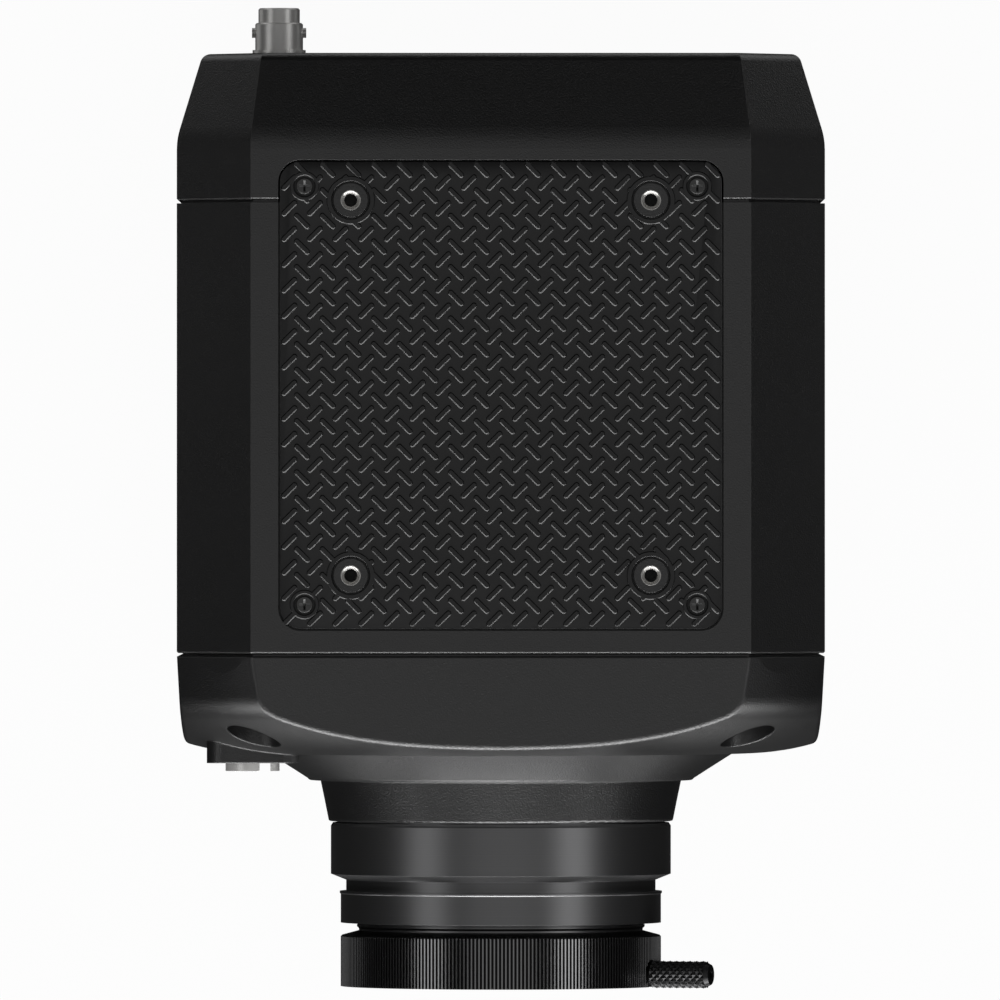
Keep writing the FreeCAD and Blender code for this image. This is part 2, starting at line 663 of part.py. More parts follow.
# Main housing: an octagonal tube with a screw pillar in each corner and a seat for the top plate
def main_housing():
    body = new_body("main_housing")
    section = new_sketch(body, "XZ_Plane", -housing_front_y)
    outline(section, *octagon())
    pad(body, section, S.housing_length, backwards=True)
    dress_edges(body, "Chamfer", S.joint_bevel, at_station(housing_front_y))
    inside = new_sketch(body, "XZ_Plane", -housing_front_y)
    outline(inside, *octagon(S.wall_thickness))
    pocket(body, inside)

    pillars = new_sketch(body, "XZ_Plane", -housing_front_y)
    four_circles(pillars, pillar_x, pillar_z, S.pillar_radius)
    pad(body, pillars, S.housing_length, backwards=True)
    threads = new_sketch(body, "XZ_Plane", -housing_front_y)
    four_circles(threads, pillar_x, pillar_z, S.cover_screw_radius + S.screw_play)
    pocket(body, threads)

    # The plate lies in a recess whose floor runs on behind the housing as a tongue
    plate_half = plate_width / 2
    opening = plate_half + S.plate_gap
    recess = new_sketch(body, "XY_Plane", half_height)
    corner = S.plate_corner + S.plate_gap
    front = plate_front_y - S.plate_gap
    outline(
        recess,
        (-opening + corner, front), (opening - corner, front, corner), (opening, front + corner),
        (opening, housing_rear_y + overcut), (-opening, housing_rear_y + overcut),
        (-opening, front + corner, corner),
    )
    pocket(body, recess, S.plate_thickness)
    tongue = new_sketch(body, "XY_Plane", half_height - S.plate_thickness)
    root_y = housing_rear_y - S.wall_thickness
    outline(
        tongue,
        (-plate_half, root_y), (plate_half, root_y),
        (plate_half, plate_rear_y - S.plate_corner, S.plate_corner),
        (plate_half - S.plate_corner, plate_rear_y),
        (-plate_half + S.plate_corner, plate_rear_y, S.plate_corner),
        (-plate_half, plate_rear_y - S.plate_corner),
    )
    pad(body, tongue, S.tongue_thickness, backwards=True)

    bosses = new_sketch(body, "XY_Plane", half_height)
    at_inserts(bosses, S.insert_boss_radius)
    pad(body, bosses, S.insert_boss_depth, backwards=True)
    screw_bosses = new_sketch(body, "XY_Plane", half_height - S.plate_thickness)
    at_plate_screws(screw_bosses, S.plate_screw_boss)
    pad(body, screw_bosses, S.plate_screw_boss_depth, backwards=True)
    insert_holes = new_sketch(body, "XY_Plane", half_height)
    at_inserts(insert_holes, S.insert_radius)
    pocket(body, insert_holes, S.insert_length)
    screw_holes = new_sketch(body, "XY_Plane", half_height - S.plate_thickness)
    at_plate_screws(screw_holes, S.plate_screw_radius + S.screw_play)
    pocket(body, screw_holes, S.plate_screw_length)

    # Bosses on the floor hold the two tripod bushes
    bushes = ((0, S.small_bush_radius), (S.bush_pitch, S.large_bush_radius))
    floor = new_sketch(body, "XY_Plane", -half_height)
    for y, radius in bushes:
        circle(floor, 0, y, radius + S.boss_rim)
    pad(body, floor, S.tripod_boss_height)
    bush_holes = new_sketch(body, "XY_Plane", -half_height)
    for y, radius in bushes:
        circle(bush_holes, 0, y, radius)
    pocket(body, bush_holes, S.tripod_bush_length, backwards=True)


# Front cover: one casting with a domed face of revolution, a conical flare and a nose
def front_cover():
    body = new_body("front_cover")
    groove_y = housing_front_y - S.front_groove
    outer = new_sketch(body, "XZ_Plane", -groove_y)
    outline(outer, *octagon())
    pad(body, outer, S.front_cover_length - S.front_groove, draft=-S.draft_angle)
    spigot = new_sketch(body, "XZ_Plane", -housing_front_y)
    outline(spigot, *octagon(S.groove_depth))
    pad(body, spigot, S.front_groove)

    # Half section of the face, from outside the chamfers in to the nose
    face_y = nose_y + S.dome_setback
    reach = shoulder_start - dome_flat_radius
    lean = root(dome_radius * dome_radius - reach * reach)
    centre_y = face_y + dome_radius
    inner = (dome_radius - S.shoulder_radius) / dome_radius
    roll_y = centre_y - lean * inner
    roll_radius = dome_flat_radius + reach * inner
    end_y = roll_y - S.shoulder_radius * cosine(S.shoulder_end)
    end_radius = roll_radius + S.shoulder_radius * sine(S.shoulder_end)
    end_slope = sine(S.shoulder_end) / cosine(S.shoulder_end)
    clear_radius = S.body_width
    flare_y = face_y - S.flare_rise
    edge = S.nose_edge_radius
    flare_edge = S.flare_edge_radius
    clear_y = nose_y - overcut
    revolve(
        body, "Groove",
        (end_y + (clear_radius - end_radius) * end_slope, clear_radius),
        (end_y, end_radius, S.shoulder_radius),
        (centre_y - lean, shoulder_start, dome_radius),
        (face_y, dome_flat_radius),
        (face_y, flare_radius),
        (flare_y, flare_tip_radius, flare_edge),
        (flare_y - flare_edge / 2, flare_tip_radius - flare_edge),
        (flare_y - flare_edge / 2, nose_root_radius),
        (nose_y + edge, nose_end_radius, edge),
        (nose_y, nose_end_radius - edge),
        (clear_y, nose_end_radius - edge),
        (clear_y, clear_radius),
    )

    # The long edges of the flat faces are crisp above and below, soft at the sides
    def on_dome(middle):
        return number_of(face_y) < middle.y < number_of(centre_y - lean)

    def above_or_below(part_edge, middle):
        return on_dome(middle) and abs(middle.z) > number_of(half_height - S.wall_thickness)

    def beside(part_edge, middle):
        return on_dome(middle) and abs(middle.x) > number_of(half_width - S.wall_thickness)

    dress_edges(body, "Fillet", S.top_edge_radius, above_or_below)
    dress_edges(body, "Fillet", S.side_edge_radius, beside)

    # Square boss for the lens connector, cast on the face beside the nose
    boss = new_sketch(body, "XZ_Plane", -carrier_y)
    side = S.connector_boss / 2
    outline(boss, *rounded_rectangle(S.connector_x - side, S.connector_x + side, S.connector_z - side,
                                     S.connector_z + side, S.connector_boss_corner))
    pad(body, boss, carrier_y - (nose_y + S.connector_boss_setback))

    # Hollow inside: octagonal at the joint, then turned steps up to the bore of the nose
    hollow = new_sketch(body, "XZ_Plane", -housing_front_y)
    outline(hollow, *octagon(S.wall_thickness + S.groove_depth))
    pocket(body, hollow, S.front_pocket_floor, backwards=True)
    filter_front_y = housing_front_y - S.filter_cavity_depth
    revolve(
        body, "Groove",
        (housing_front_y, 0),
        (housing_front_y, S.carrier_cavity_radius),
        (carrier_y, S.carrier_cavity_radius),
        (carrier_y, S.carrier_seat_radius),
        (carrier_y - S.carrier_thickness, S.carrier_seat_radius),
        (filter_front_y, filter_cavity_radius),
        (nose_y + S.nose_wall, nose_cavity_radius),
        (nose_y + S.nose_wall, nose_bore),
        (nose_y, nose_bore),
        (nose_y, 0),
    )

    # Screw pillars, with deep pockets for the heads from the front
    pillars = new_sketch(body, "XZ_Plane", -housing_front_y)
    four_circles(pillars, pillar_x, pillar_z, S.pillar_radius)
    pad(body, pillars, S.front_pocket_floor)
    holes = new_sketch(body, "XZ_Plane", -housing_front_y)
    four_circles(holes, pillar_x, pillar_z, S.cover_screw_radius + S.slide_play)
    pocket(body, holes, backwards=True)
    pockets = new_sketch(body, "XZ_Plane", -housing_front_y + S.front_pocket_floor)
    four_circles(pockets, pillar_x, pillar_z, S.front_pocket_radius)
    pocket(body, pockets, backwards=True)

    # Bore for the lens connector, threads for the carrier screws and for the mount base
    bore = new_sketch(body, "XZ_Plane", -carrier_y)
    circle(bore, S.connector_x, S.connector_z, S.connector_radius)
    pocket(body, bore, backwards=True)
    back_bore = new_sketch(body, "XZ_Plane", -carrier_y)
    circle(back_bore, S.connector_x, S.connector_z, S.connector_radius)
    pocket(body, back_bore)
    carrier_threads = new_sketch(body, "XZ_Plane", -carrier_y)
    thread_radius = S.carrier_screw_radius + S.screw_play
    four_circles(carrier_threads, S.carrier_screw_at, S.carrier_screw_at, thread_radius)
    pocket(body, carrier_threads, S.carrier_thickness, backwards=True)
    diagonal = mount_screw_circle / math.sqrt(2)
    base_threads = new_sketch(body, "XZ_Plane", -nose_y)
    four_circles(base_threads, diagonal, diagonal, S.mount_screw_radius + S.screw_play)
    pocket(body, base_threads, S.nose_wall)


# Rear cover: octagonal cup that tapers to the rear plane, notched for the housing's tongue
def rear_cover():
    body = new_body("rear_cover")
    start_y = housing_rear_y + S.taper_start
    taper_length = S.rear_cover_length - S.taper_start
    slope = Length(
        math.degrees(math.atan(number_of(S.taper_inset / taper_length))),
        f"(-1 * atan({text_of(S.taper_inset / taper_length)}) / 1 deg)",
    )
    straight = new_sketch(body, "XZ_Plane", -(housing_rear_y + S.rear_groove))
    outline(straight, *octagon())
    pad(body, straight, S.taper_start - S.rear_groove, backwards=True)
    taper = new_sketch(body, "XZ_Plane", -start_y)
    outline(taper, *octagon())
    pad(body, taper, taper_length, backwards=True, draft=slope)

    dress_edges(body, "Fillet", S.taper_blend, at_station(start_y))
    dress_edges(body, "Fillet", S.rear_edge_radius, at_station(rear_plane_y))
    dress_edges(body, "Chamfer", S.joint_bevel, at_station(housing_rear_y + S.rear_groove))
    spigot = new_sketch(body, "XZ_Plane", -housing_rear_y)
    outline(spigot, *octagon(S.groove_depth))
    pad(body, spigot, S.rear_groove, backwards=True)

    # Hollow inside, up to a ledge that carries the rear panel
    ledge_y = panel_back_y - S.panel_ledge
    hollow = new_sketch(body, "XZ_Plane", -housing_rear_y)
    outline(hollow, *octagon(S.wall_thickness + S.groove_depth))
    pocket(body, hollow, S.taper_start)
    deep = new_sketch(body, "XZ_Plane", -start_y)
    outline(deep, *octagon(S.wall_thickness + S.groove_depth))
    pocket(body, deep, ledge_y - start_y, draft=slope)
    pillars = new_sketch(body, "XZ_Plane", -housing_rear_y)
    four_circles(pillars, pillar_x, pillar_z, S.rear_pillar_radius)
    pad(body, pillars, ledge_y - housing_rear_y + S.panel_ledge / 2, backwards=True)

    # Recess and window for the rear panel
    panel = new_sketch(body, "XZ_Plane", -rear_plane_y)
    wide = panel_width / 2 + S.panel_gap
    tall = S.panel_height / 2 + S.panel_gap
    outline(panel, *rounded_rectangle(-wide, wide, -tall, tall, S.panel_corner + S.panel_gap))
    pocket(body, panel, S.panel_recess + S.panel_thickness, backwards=True)
    window = new_sketch(body, "XZ_Plane", -panel_back_y)
    across = panel_width / 2 - S.panel_ledge_width
    up = S.panel_height / 2 - S.panel_ledge_width
    outline(window, *rounded_rectangle(-across, across, -up, up, S.panel_corner))
    pocket(body, window, S.panel_ledge * 2, backwards=True)

    # Screw holes, with pockets for the heads from the rear
    holes = new_sketch(body, "XZ_Plane", -housing_rear_y)
    four_circles(holes, pillar_x, pillar_z, S.cover_screw_radius + S.slide_play)
    pocket(body, holes)
    heads = new_sketch(body, "XZ_Plane", -rear_plane_y)
    four_circles(heads, pillar_x, pillar_z, S.cover_screw_head + S.slide_play * 4)
    pocket(body, heads, rear_plane_y - ledge_y, backwards=True)
    panel_threads = new_sketch(body, "XZ_Plane", -panel_back_y)
    screw_x = panel_width / 2 - S.panel_screw_inset
    screw_z = S.panel_height / 2 - S.panel_screw_inset
    four_circles(panel_threads, screw_x, screw_z, S.panel_screw_radius + S.screw_play)
    pocket(body, panel_threads, S.panel_ledge, backwards=True)

    # Notch that the housing's tongue and the rear end of the top plate fill
    notch = new_sketch(body, "XY_Plane", half_height)
    opening = plate_width / 2 + S.plate_gap
    corner = S.plate_corner + S.plate_gap
    front = housing_rear_y - overcut
    back = plate_rear_y + S.plate_gap
    outline(
        notch,
        (-opening, front), (opening, front), (opening, back - corner, corner), (opening - corner, back),
        (-opening + corner, back, corner), (-opening, back - corner),
    )
    pocket(body, notch, S.wall_thickness + S.groove_depth * 2)


# Top plate with its screws, and the threaded bushes that come up through it
def top_plate():
    body = new_body("top_plate")
    floor_z = half_height - S.plate_thickness
    face = new_sketch(body, "XY_Plane", floor_z)
    half = plate_width / 2
    outline(face, *rounded_rectangle(-half, half, plate_front_y, plate_rear_y, S.plate_corner))
    at_inserts(face, S.insert_boss_radius + S.plate_gap)
    at_plate_screws(face, S.plate_screw_radius + S.slide_play)
    pad(body, face, S.plate_thickness)
    sinks = new_sketch(body, "XY_Plane", half_height)
    at_plate_screws(sinks, S.plate_screw_head + S.plate_gap)
    pocket(body, sinks, S.plate_screw_sink)

    head = S.plate_screw_head
    seat = -S.plate_screw_sink
    tip = -S.plate_thickness - S.plate_screw_length + S.plate_gap
    crown = -S.screw_play
    edge = S.small_edge
    screw = turned(
        "top_plate_screw",
        (tip, 0), (tip, S.plate_screw_radius), (seat, S.plate_screw_radius), (seat, head),
        (crown - edge, head), (crown, head - edge), (crown, 0),
        x=plate_screw_x, y=plate_screw_rows[0], z=S.body_height, turn=UP,
    )
    middle = (plate_screw_rows[0] + plate_screw_rows[1]) / 2
    four_of("top_plate_screws", screw, (0, 1, 0), (0, middle, 0))

    bore = S.insert_bore
    outside = S.insert_radius - S.screw_play
    bush = turned(
        "accessory_insert",
        (-S.insert_length, bore), (-S.insert_length, outside), (0, outside),
        (0, bore + S.insert_chamfer), (-S.insert_chamfer, bore),
        x=insert_x, y=insert_rows[0], z=S.body_height, turn=UP,
    )
    middle = (insert_rows[0] + insert_rows[1]) / 2
    four_of("accessory_inserts", bush, (0, 1, 0), (0, middle, 0))


# Tripod bushes, flush in the underside
def tripod_bushes():
    for label, y, radius, bore in (
        ("tripod_bush_small", 0, S.small_bush_radius, S.small_bush_bore),
        ("tripod_bush_large", S.bush_pitch, S.large_bush_radius, S.large_bush_bore),
    ):
        outside = radius - S.screw_play
        turned(
            label,
            (0, bore), (0, outside), (S.tripod_bush_length, outside), (S.tripod_bush_length, bore),
            y=y, z=0, turn=UP,
        )


# Socket screws of the two covers
def cover_screws():
    def screw(label, seat_y, tip_y, way):
        top_y = seat_y + S.cover_screw_head_height * way
        piece = turned(
            label,
            (tip_y, 0), (tip_y, S.cover_screw_radius), (seat_y, S.cover_screw_radius),
            (seat_y, S.cover_screw_head), (top_y, S.cover_screw_head),
            (top_y, S.cover_screw_socket), (top_y - S.cover_screw_radius * way, S.cover_screw_socket),
            (top_y - S.cover_screw_radius * way, 0),
            x=pillar_x, z=axis_height + pillar_z,
        )
        four_of(label + "s", piece, (0, 0, 1), axis_point)

    front_seat_y = housing_front_y - S.front_pocket_floor
    rear_seat_y = panel_back_y - S.panel_ledge
    screw("front_cover_screw", front_seat_y, housing_front_y + S.cover_screw_grip, -1)
    screw("rear_cover_screw", rear_seat_y, housing_rear_y - S.cover_screw_grip, 1)


# Lens mount: a base ring on the nose, a flange ring with the lens seat, and a locking ring that turns on it
base_ring_y = nose_y - S.base_neck_length
base_slope_y = base_ring_y - S.base_ring_length
base_neck_y = base_slope_y - S.base_slope_length
flange_y = base_neck_y - S.base_front_length
flange_front_y = flange_y - S.flange_length
hub_end_y = flange_front_y - S.hub_length
seat_y = hub_end_y - S.seat_rise
ring_back_y = flange_front_y - S.ring_gap
ring_front_y = ring_back_y - S.ring_length
lever_turn = FreeCAD.Rotation(FreeCAD.Vector(0, 1, 0), -number_of(S.lever_tilt))


def mount_rings():
    edge = S.ring_edge / 2
    spigot_y = nose_y + S.base_spigot_length
    spigot_radius = nose_bore - S.screw_play
    base = turned(
        "mount_base",
        (spigot_y, base_bore), (spigot_y, spigot_radius), (nose_y, spigot_radius),
        (nose_y, base_neck_radius), (base_ring_y, base_neck_radius), (base_ring_y, base_radius - edge),
        (base_ring_y - S.base_bevel, base_radius), (base_slope_y, base_radius),
        (base_neck_y, base_front_radius), (flange_y, base_front_radius), (flange_y, base_bore),
    )
    diagonal = mount_screw_circle / math.sqrt(2)
    heads = new_sketch(base, "XZ_Plane", -flange_y)
    four_circles(heads, diagonal, diagonal, S.mount_screw_head + S.slide_play)
    head_seat_y = flange_y + S.mount_screw_head_height + S.screw_play
    pocket(base, heads, head_seat_y - flange_y)
    holes = new_sketch(base, "XZ_Plane", -flange_y)
    four_circles(holes, diagonal, diagonal, S.mount_screw_radius + S.slide_play)
    pocket(base, holes)
    threads = new_sketch(base, "XZ_Plane", -flange_y)
    flange_at = flange_screw_circle
    for x, z in ((flange_at, 0), (-flange_at, 0), (0, flange_at), (0, -flange_at)):
        circle(threads, x, z, S.flange_screw_radius + S.screw_play)
    pocket(base, threads, S.screw_bite + S.slide_play)

    screw = turned(
        "mount_base_screw",
        (flange_y + S.screw_play, 0), (flange_y + S.screw_play, S.mount_screw_head),
        (head_seat_y, S.mount_screw_head), (head_seat_y, S.mount_screw_radius),
        (nose_y + S.screw_bite, S.mount_screw_radius), (nose_y + S.screw_bite, 0),
        x=diagonal, z=axis_height + diagonal,
    )
    four_of("mount_base_screws", screw, (0, 0, 1), axis_point)

    body_radius = flange_radius - S.flange_lip_height
    lip_y = flange_y - S.flange_lip_length
    hub_lip_y = flange_front_y - S.hub_groove
    hub_lip_end_y = hub_lip_y - S.hub_lip_length
    hub_lip_radius = hub_radius + S.hub_lip_height
    flange = turned(
        "mount_flange",
        (flange_y, S.mount_bore), (flange_y, flange_radius), (lip_y, flange_radius),
        (lip_y - S.flange_lip_height, body_radius), (flange_front_y, body_radius),
        (flange_front_y, hub_radius), (hub_lip_y, hub_radius), (hub_lip_y, hub_lip_radius),
        (hub_lip_end_y, hub_lip_radius), (hub_lip_end_y - S.hub_lip_height, hub_radius),
        (hub_end_y, hub_radius), (hub_end_y, seat_radius), (seat_y, seat_radius), (seat_y, S.mount_bore),
    )
    clearance = new_sketch(flange, "XZ_Plane", -seat_y)
    sinks = new_sketch(flange, "XZ_Plane", -seat_y)
    for x, z in ((flange_at, 0), (-flange_at, 0), (0, flange_at), (0, -flange_at)):
        circle(clearance, x, z, S.flange_screw_radius + S.slide_play)
        circle(sinks, x, z, S.flange_screw_head + S.slide_play)
    pocket(flange, clearance)
    pocket(flange, sinks, S.flange_screw_head_height + S.slide_play)
    key = new_sketch(flange, "XZ_Plane", -seat_y)
    notch_x = seat_radius / math.sqrt(2)
    turn = S.key_width / 2
    outline(key, *rectangle(notch_x - turn, notch_x + turn, notch_x - turn, notch_x + turn))
    pocket(flange, key, S.key_depth)

    screws = []
    for place, (x, z) in enumerate(((1, 0), (-1, 0), (0, 1), (0, -1))):
        head_y = seat_y + S.slide_play
        under_y = head_y + S.flange_screw_head_height
        screws.append(turned(
            f"mount_flange_screw_{place}",
            (head_y, 0), (head_y, S.flange_screw_head), (under_y, S.flange_screw_head),
            (under_y, S.flange_screw_radius), (flange_y + S.screw_bite, S.flange_screw_radius),
            (flange_y + S.screw_bite, 0),
            x=flange_at * x, z=axis_height + flange_at * z,
        ))
    joined("mount_flange_screws", screws)

    turned(
        "lock_ring_retainer",
        (hub_end_y, seat_radius + S.screw_play), (hub_end_y, retainer_radius),
        (hub_end_y - S.retainer_thickness, retainer_radius),
        (hub_end_y - S.retainer_thickness, seat_radius + S.screw_play),
    )


# Locking ring with three bayonet lugs inside, and the lever screwed into it
def locking_ring():
    body = new_body("lock_ring", turn=lever_turn)
    land = hub_radius + S.slide_play
    land_y = ring_back_y - S.ring_land
    lip_y = ring_front_y + S.ring_lip_length
    revolve(
        body, "Revolution",
        (ring_back_y, land), (ring_back_y - S.ring_back_slope, ring_radius),
        (ring_front_y + S.ring_edge, ring_radius, S.ring_edge), (ring_front_y, ring_radius - S.ring_edge),
        (ring_front_y, ring_lip_radius), (lip_y, ring_lip_radius), (lip_y, ring_relief),
        (land_y, ring_relief), (land_y, land),
    )
    # Gaps between the lugs let the lens tabs in
    lug_count = 3
    gap = new_sketch(body, "XZ_Plane", -ring_front_y)
    half = S.lug_gap_angle / 2
    near = ring_lip_radius - S.ring_edge
    far = ring_relief
    start = S.lug_gap_place - half
    end = S.lug_gap_place + half
    outline(
        gap,
        (far * cosine(start), far * sine(start), far), (far * cosine(end), far * sine(end)),
        (near * cosine(end), near * sine(end), -near), (near * cosine(start), near * sine(start)),
    )
    cut = pocket(body, gap, S.ring_lip_length)
    pattern = body.newObject("PartDesign::PolarPattern", "pattern")
    pattern.Originals = [cut]
    pattern.Axis = (gap, ["N_Axis"])
    pattern.Angle = 360
    pattern.Occurrences = lug_count
    body.Tip = pattern

    # Flat and thread for the lever
    lever_y = ring_front_y + S.lever_setback
    flat = new_sketch(body, "YZ_Plane", lever_seat)
    circle(flat, lever_y, 0, S.lever_radius + S.slide_play * 2)
    pocket(body, flat, ring_radius, backwards=True)
    thread = new_sketch(body, "YZ_Plane", lever_seat)
    circle(thread, lever_y, 0, S.lever_stud_radius + S.screw_play)
    pocket(body, thread, S.lever_stud_length + S.slide_play)

    foot = lever_seat
    hip = foot + S.lever_foot_length
    tip = lever_reach
    turned(
        "lock_lever",
        (foot - S.lever_stud_length, 0), (foot - S.lever_stud_length, S.lever_stud_radius),
        (foot, S.lever_stud_radius), (foot, S.lever_foot_radius), (hip, S.lever_radius),
        (tip - S.lever_edge, S.lever_radius), (tip, S.lever_radius - S.lever_edge), (tip, S.lever_socket),
        (tip - S.lever_socket_depth, S.lever_socket), (tip - S.lever_socket_depth, 0),
        y=lever_y, turn=lever_turn, plane="XY_Plane",
    )


# Lens connector: a slotted metal shell with an insulating insert, in the boss of the front cover
def lens_connector():
    boss_y = nose_y + S.connector_boss_setback
    mouth_y = boss_y - S.connector_stand
    back_y = mouth_y + S.connector_length
    outside = S.connector_radius - S.screw_play
    inside = S.connector_radius - S.connector_wall
    shell = turned(
        "lens_connector_shell",
        (back_y, inside), (back_y, outside), (mouth_y, outside), (mouth_y, inside),
        x=S.connector_x, z=axis_height + S.connector_z,
    )
    slot = new_sketch(shell, "XZ_Plane", -mouth_y)
    left = S.connector_slot_x - S.connector_slot / 2
    outline(slot, *rectangle(left, left + S.connector_slot, -S.connector_radius, S.connector_radius))
    pocket(shell, slot, S.connector_stand)
    turned(
        "lens_connector_insert",
        (back_y, 0), (back_y, inside - S.screw_play), (boss_y, inside - S.screw_play), (boss_y, 0),
        x=S.connector_x, z=axis_height + S.connector_z,
    )


# Rear panel, sunk in the rear cover
def rear_panel():
    body = new_body("rear_panel")
    face = new_sketch(body, "XZ_Plane", -panel_back_y)
    wide = panel_width / 2
    tall = S.panel_height / 2
    outline(face, *rounded_rectangle(-wide, wide, -tall, tall, S.panel_corner))
    screw_x = wide - S.panel_screw_inset
    screw_z = tall - S.panel_screw_inset
    four_circles(face, screw_x, screw_z, S.panel_screw_radius + S.slide_play)
    circle(face, S.jack_x, 0, S.jack_thread + S.screw_play)
    circle(face, S.remote_x, 0, S.remote_radius + S.screw_play)
    circle(face, S.inlet_x, 0, S.inlet_radius + S.screw_play)
    for side in (-1, 1):
        circle(face, S.inlet_x + S.inlet_screw_x * side, S.inlet_screw_z * side,
               S.inlet_screw_radius + S.screw_play)
    for x, z in ((1, 0), (-1, 0), (0, 1), (0, -1)):
        key_hole = S.menu_key_radius + S.slide_play
        circle(face, S.keys_x + S.key_offset * x, S.keys_z + S.key_offset * z, key_hole)
    low = S.keys_x - (S.switch_width + S.switch_travel) / 2 - S.slide_play
    high = S.keys_x + (S.switch_width + S.switch_travel) / 2 + S.slide_play
    half = S.switch_height / 2 + S.slide_play
    outline(face, *rectangle(low, high, S.switch_z - half, S.switch_z + half))
    pad(body, face, S.panel_thickness, backwards=True)

    top_y = panel_y + S.panel_screw_head_height
    edge = S.small_edge
    screw = turned(
        "rear_panel_screw",
        (panel_back_y - S.panel_ledge, 0), (panel_back_y - S.panel_ledge, S.panel_screw_radius),
        (panel_y, S.panel_screw_radius), (panel_y, S.panel_screw_head), (top_y - edge, S.panel_screw_head),
        (top_y, S.panel_screw_head - edge), (top_y, 0),
        x=screw_x, z=axis_height + screw_z,
    )
    four_of("rear_panel_screws", screw, (0, 0, 1), axis_point)


# Video jack: coaxial bayonet connector through the rear panel
def video_jack():
    back_y = rear_board_y + S.screw_play * 4
    flange_end_y = panel_y + S.jack_flange_length
    barrel_end_y = flange_end_y + S.jack_barrel_length
    tip_y = barrel_end_y + S.jack_nose_length
    edge = S.small_edge
    shell = turned(
        "video_jack_shell",
        (back_y, 0), (back_y, S.jack_thread), (panel_y, S.jack_thread), (panel_y, S.jack_flange),
        (flange_end_y, S.jack_flange), (flange_end_y, S.jack_barrel), (barrel_end_y - edge, S.jack_barrel),
        (barrel_end_y, S.jack_barrel - edge), (barrel_end_y, S.jack_nose), (tip_y - edge, S.jack_nose),
        (tip_y, S.jack_nose - edge), (tip_y, 0),
        x=S.jack_x,
    )
    lugs = new_sketch(shell, "YZ_Plane")
    circle(lugs, tip_y - S.jack_lug_back, 0, S.jack_lug_radius)
    pad(shell, lugs, S.jack_lug_span, both_ways=True)
    floor_y = tip_y - S.jack_bore_depth
    revolve(
        shell, "Groove",
        (tip_y + overcut, 0), (tip_y + overcut, S.jack_bore), (floor_y, S.jack_bore),
        (floor_y, S.jack_insulator), (back_y - overcut, S.jack_insulator), (back_y - overcut, 0),
    )
    inside = S.jack_contact + S.screw_play
    outside = S.jack_insulator - S.screw_play
    turned(
        "video_jack_insulator",
        (back_y, inside), (back_y, outside), (floor_y, outside), (floor_y, inside),
        x=S.jack_x,
    )
    turned(
        "video_jack_contact",
        (back_y, 0), (back_y, S.jack_contact), (tip_y - S.jack_contact_back, S.jack_contact),
        (tip_y - S.jack_contact_back, 0),
        x=S.jack_x,
    )
    nut = new_body("video_jack_nut", x=S.jack_x)
    flats = new_sketch(nut, "XZ_Plane", -panel_back_y)
    corner = S.jack_nut_flats / math.sqrt(3)
    outline(flats, *[(corner * math.cos(math.radians(60 * k)), corner * math.sin(math.radians(60 * k)))
                     for k in range(6)])
    circle(flats, 0, 0, S.jack_thread + S.screw_play)
    pad(nut, flats, S.jack_nut_thickness)


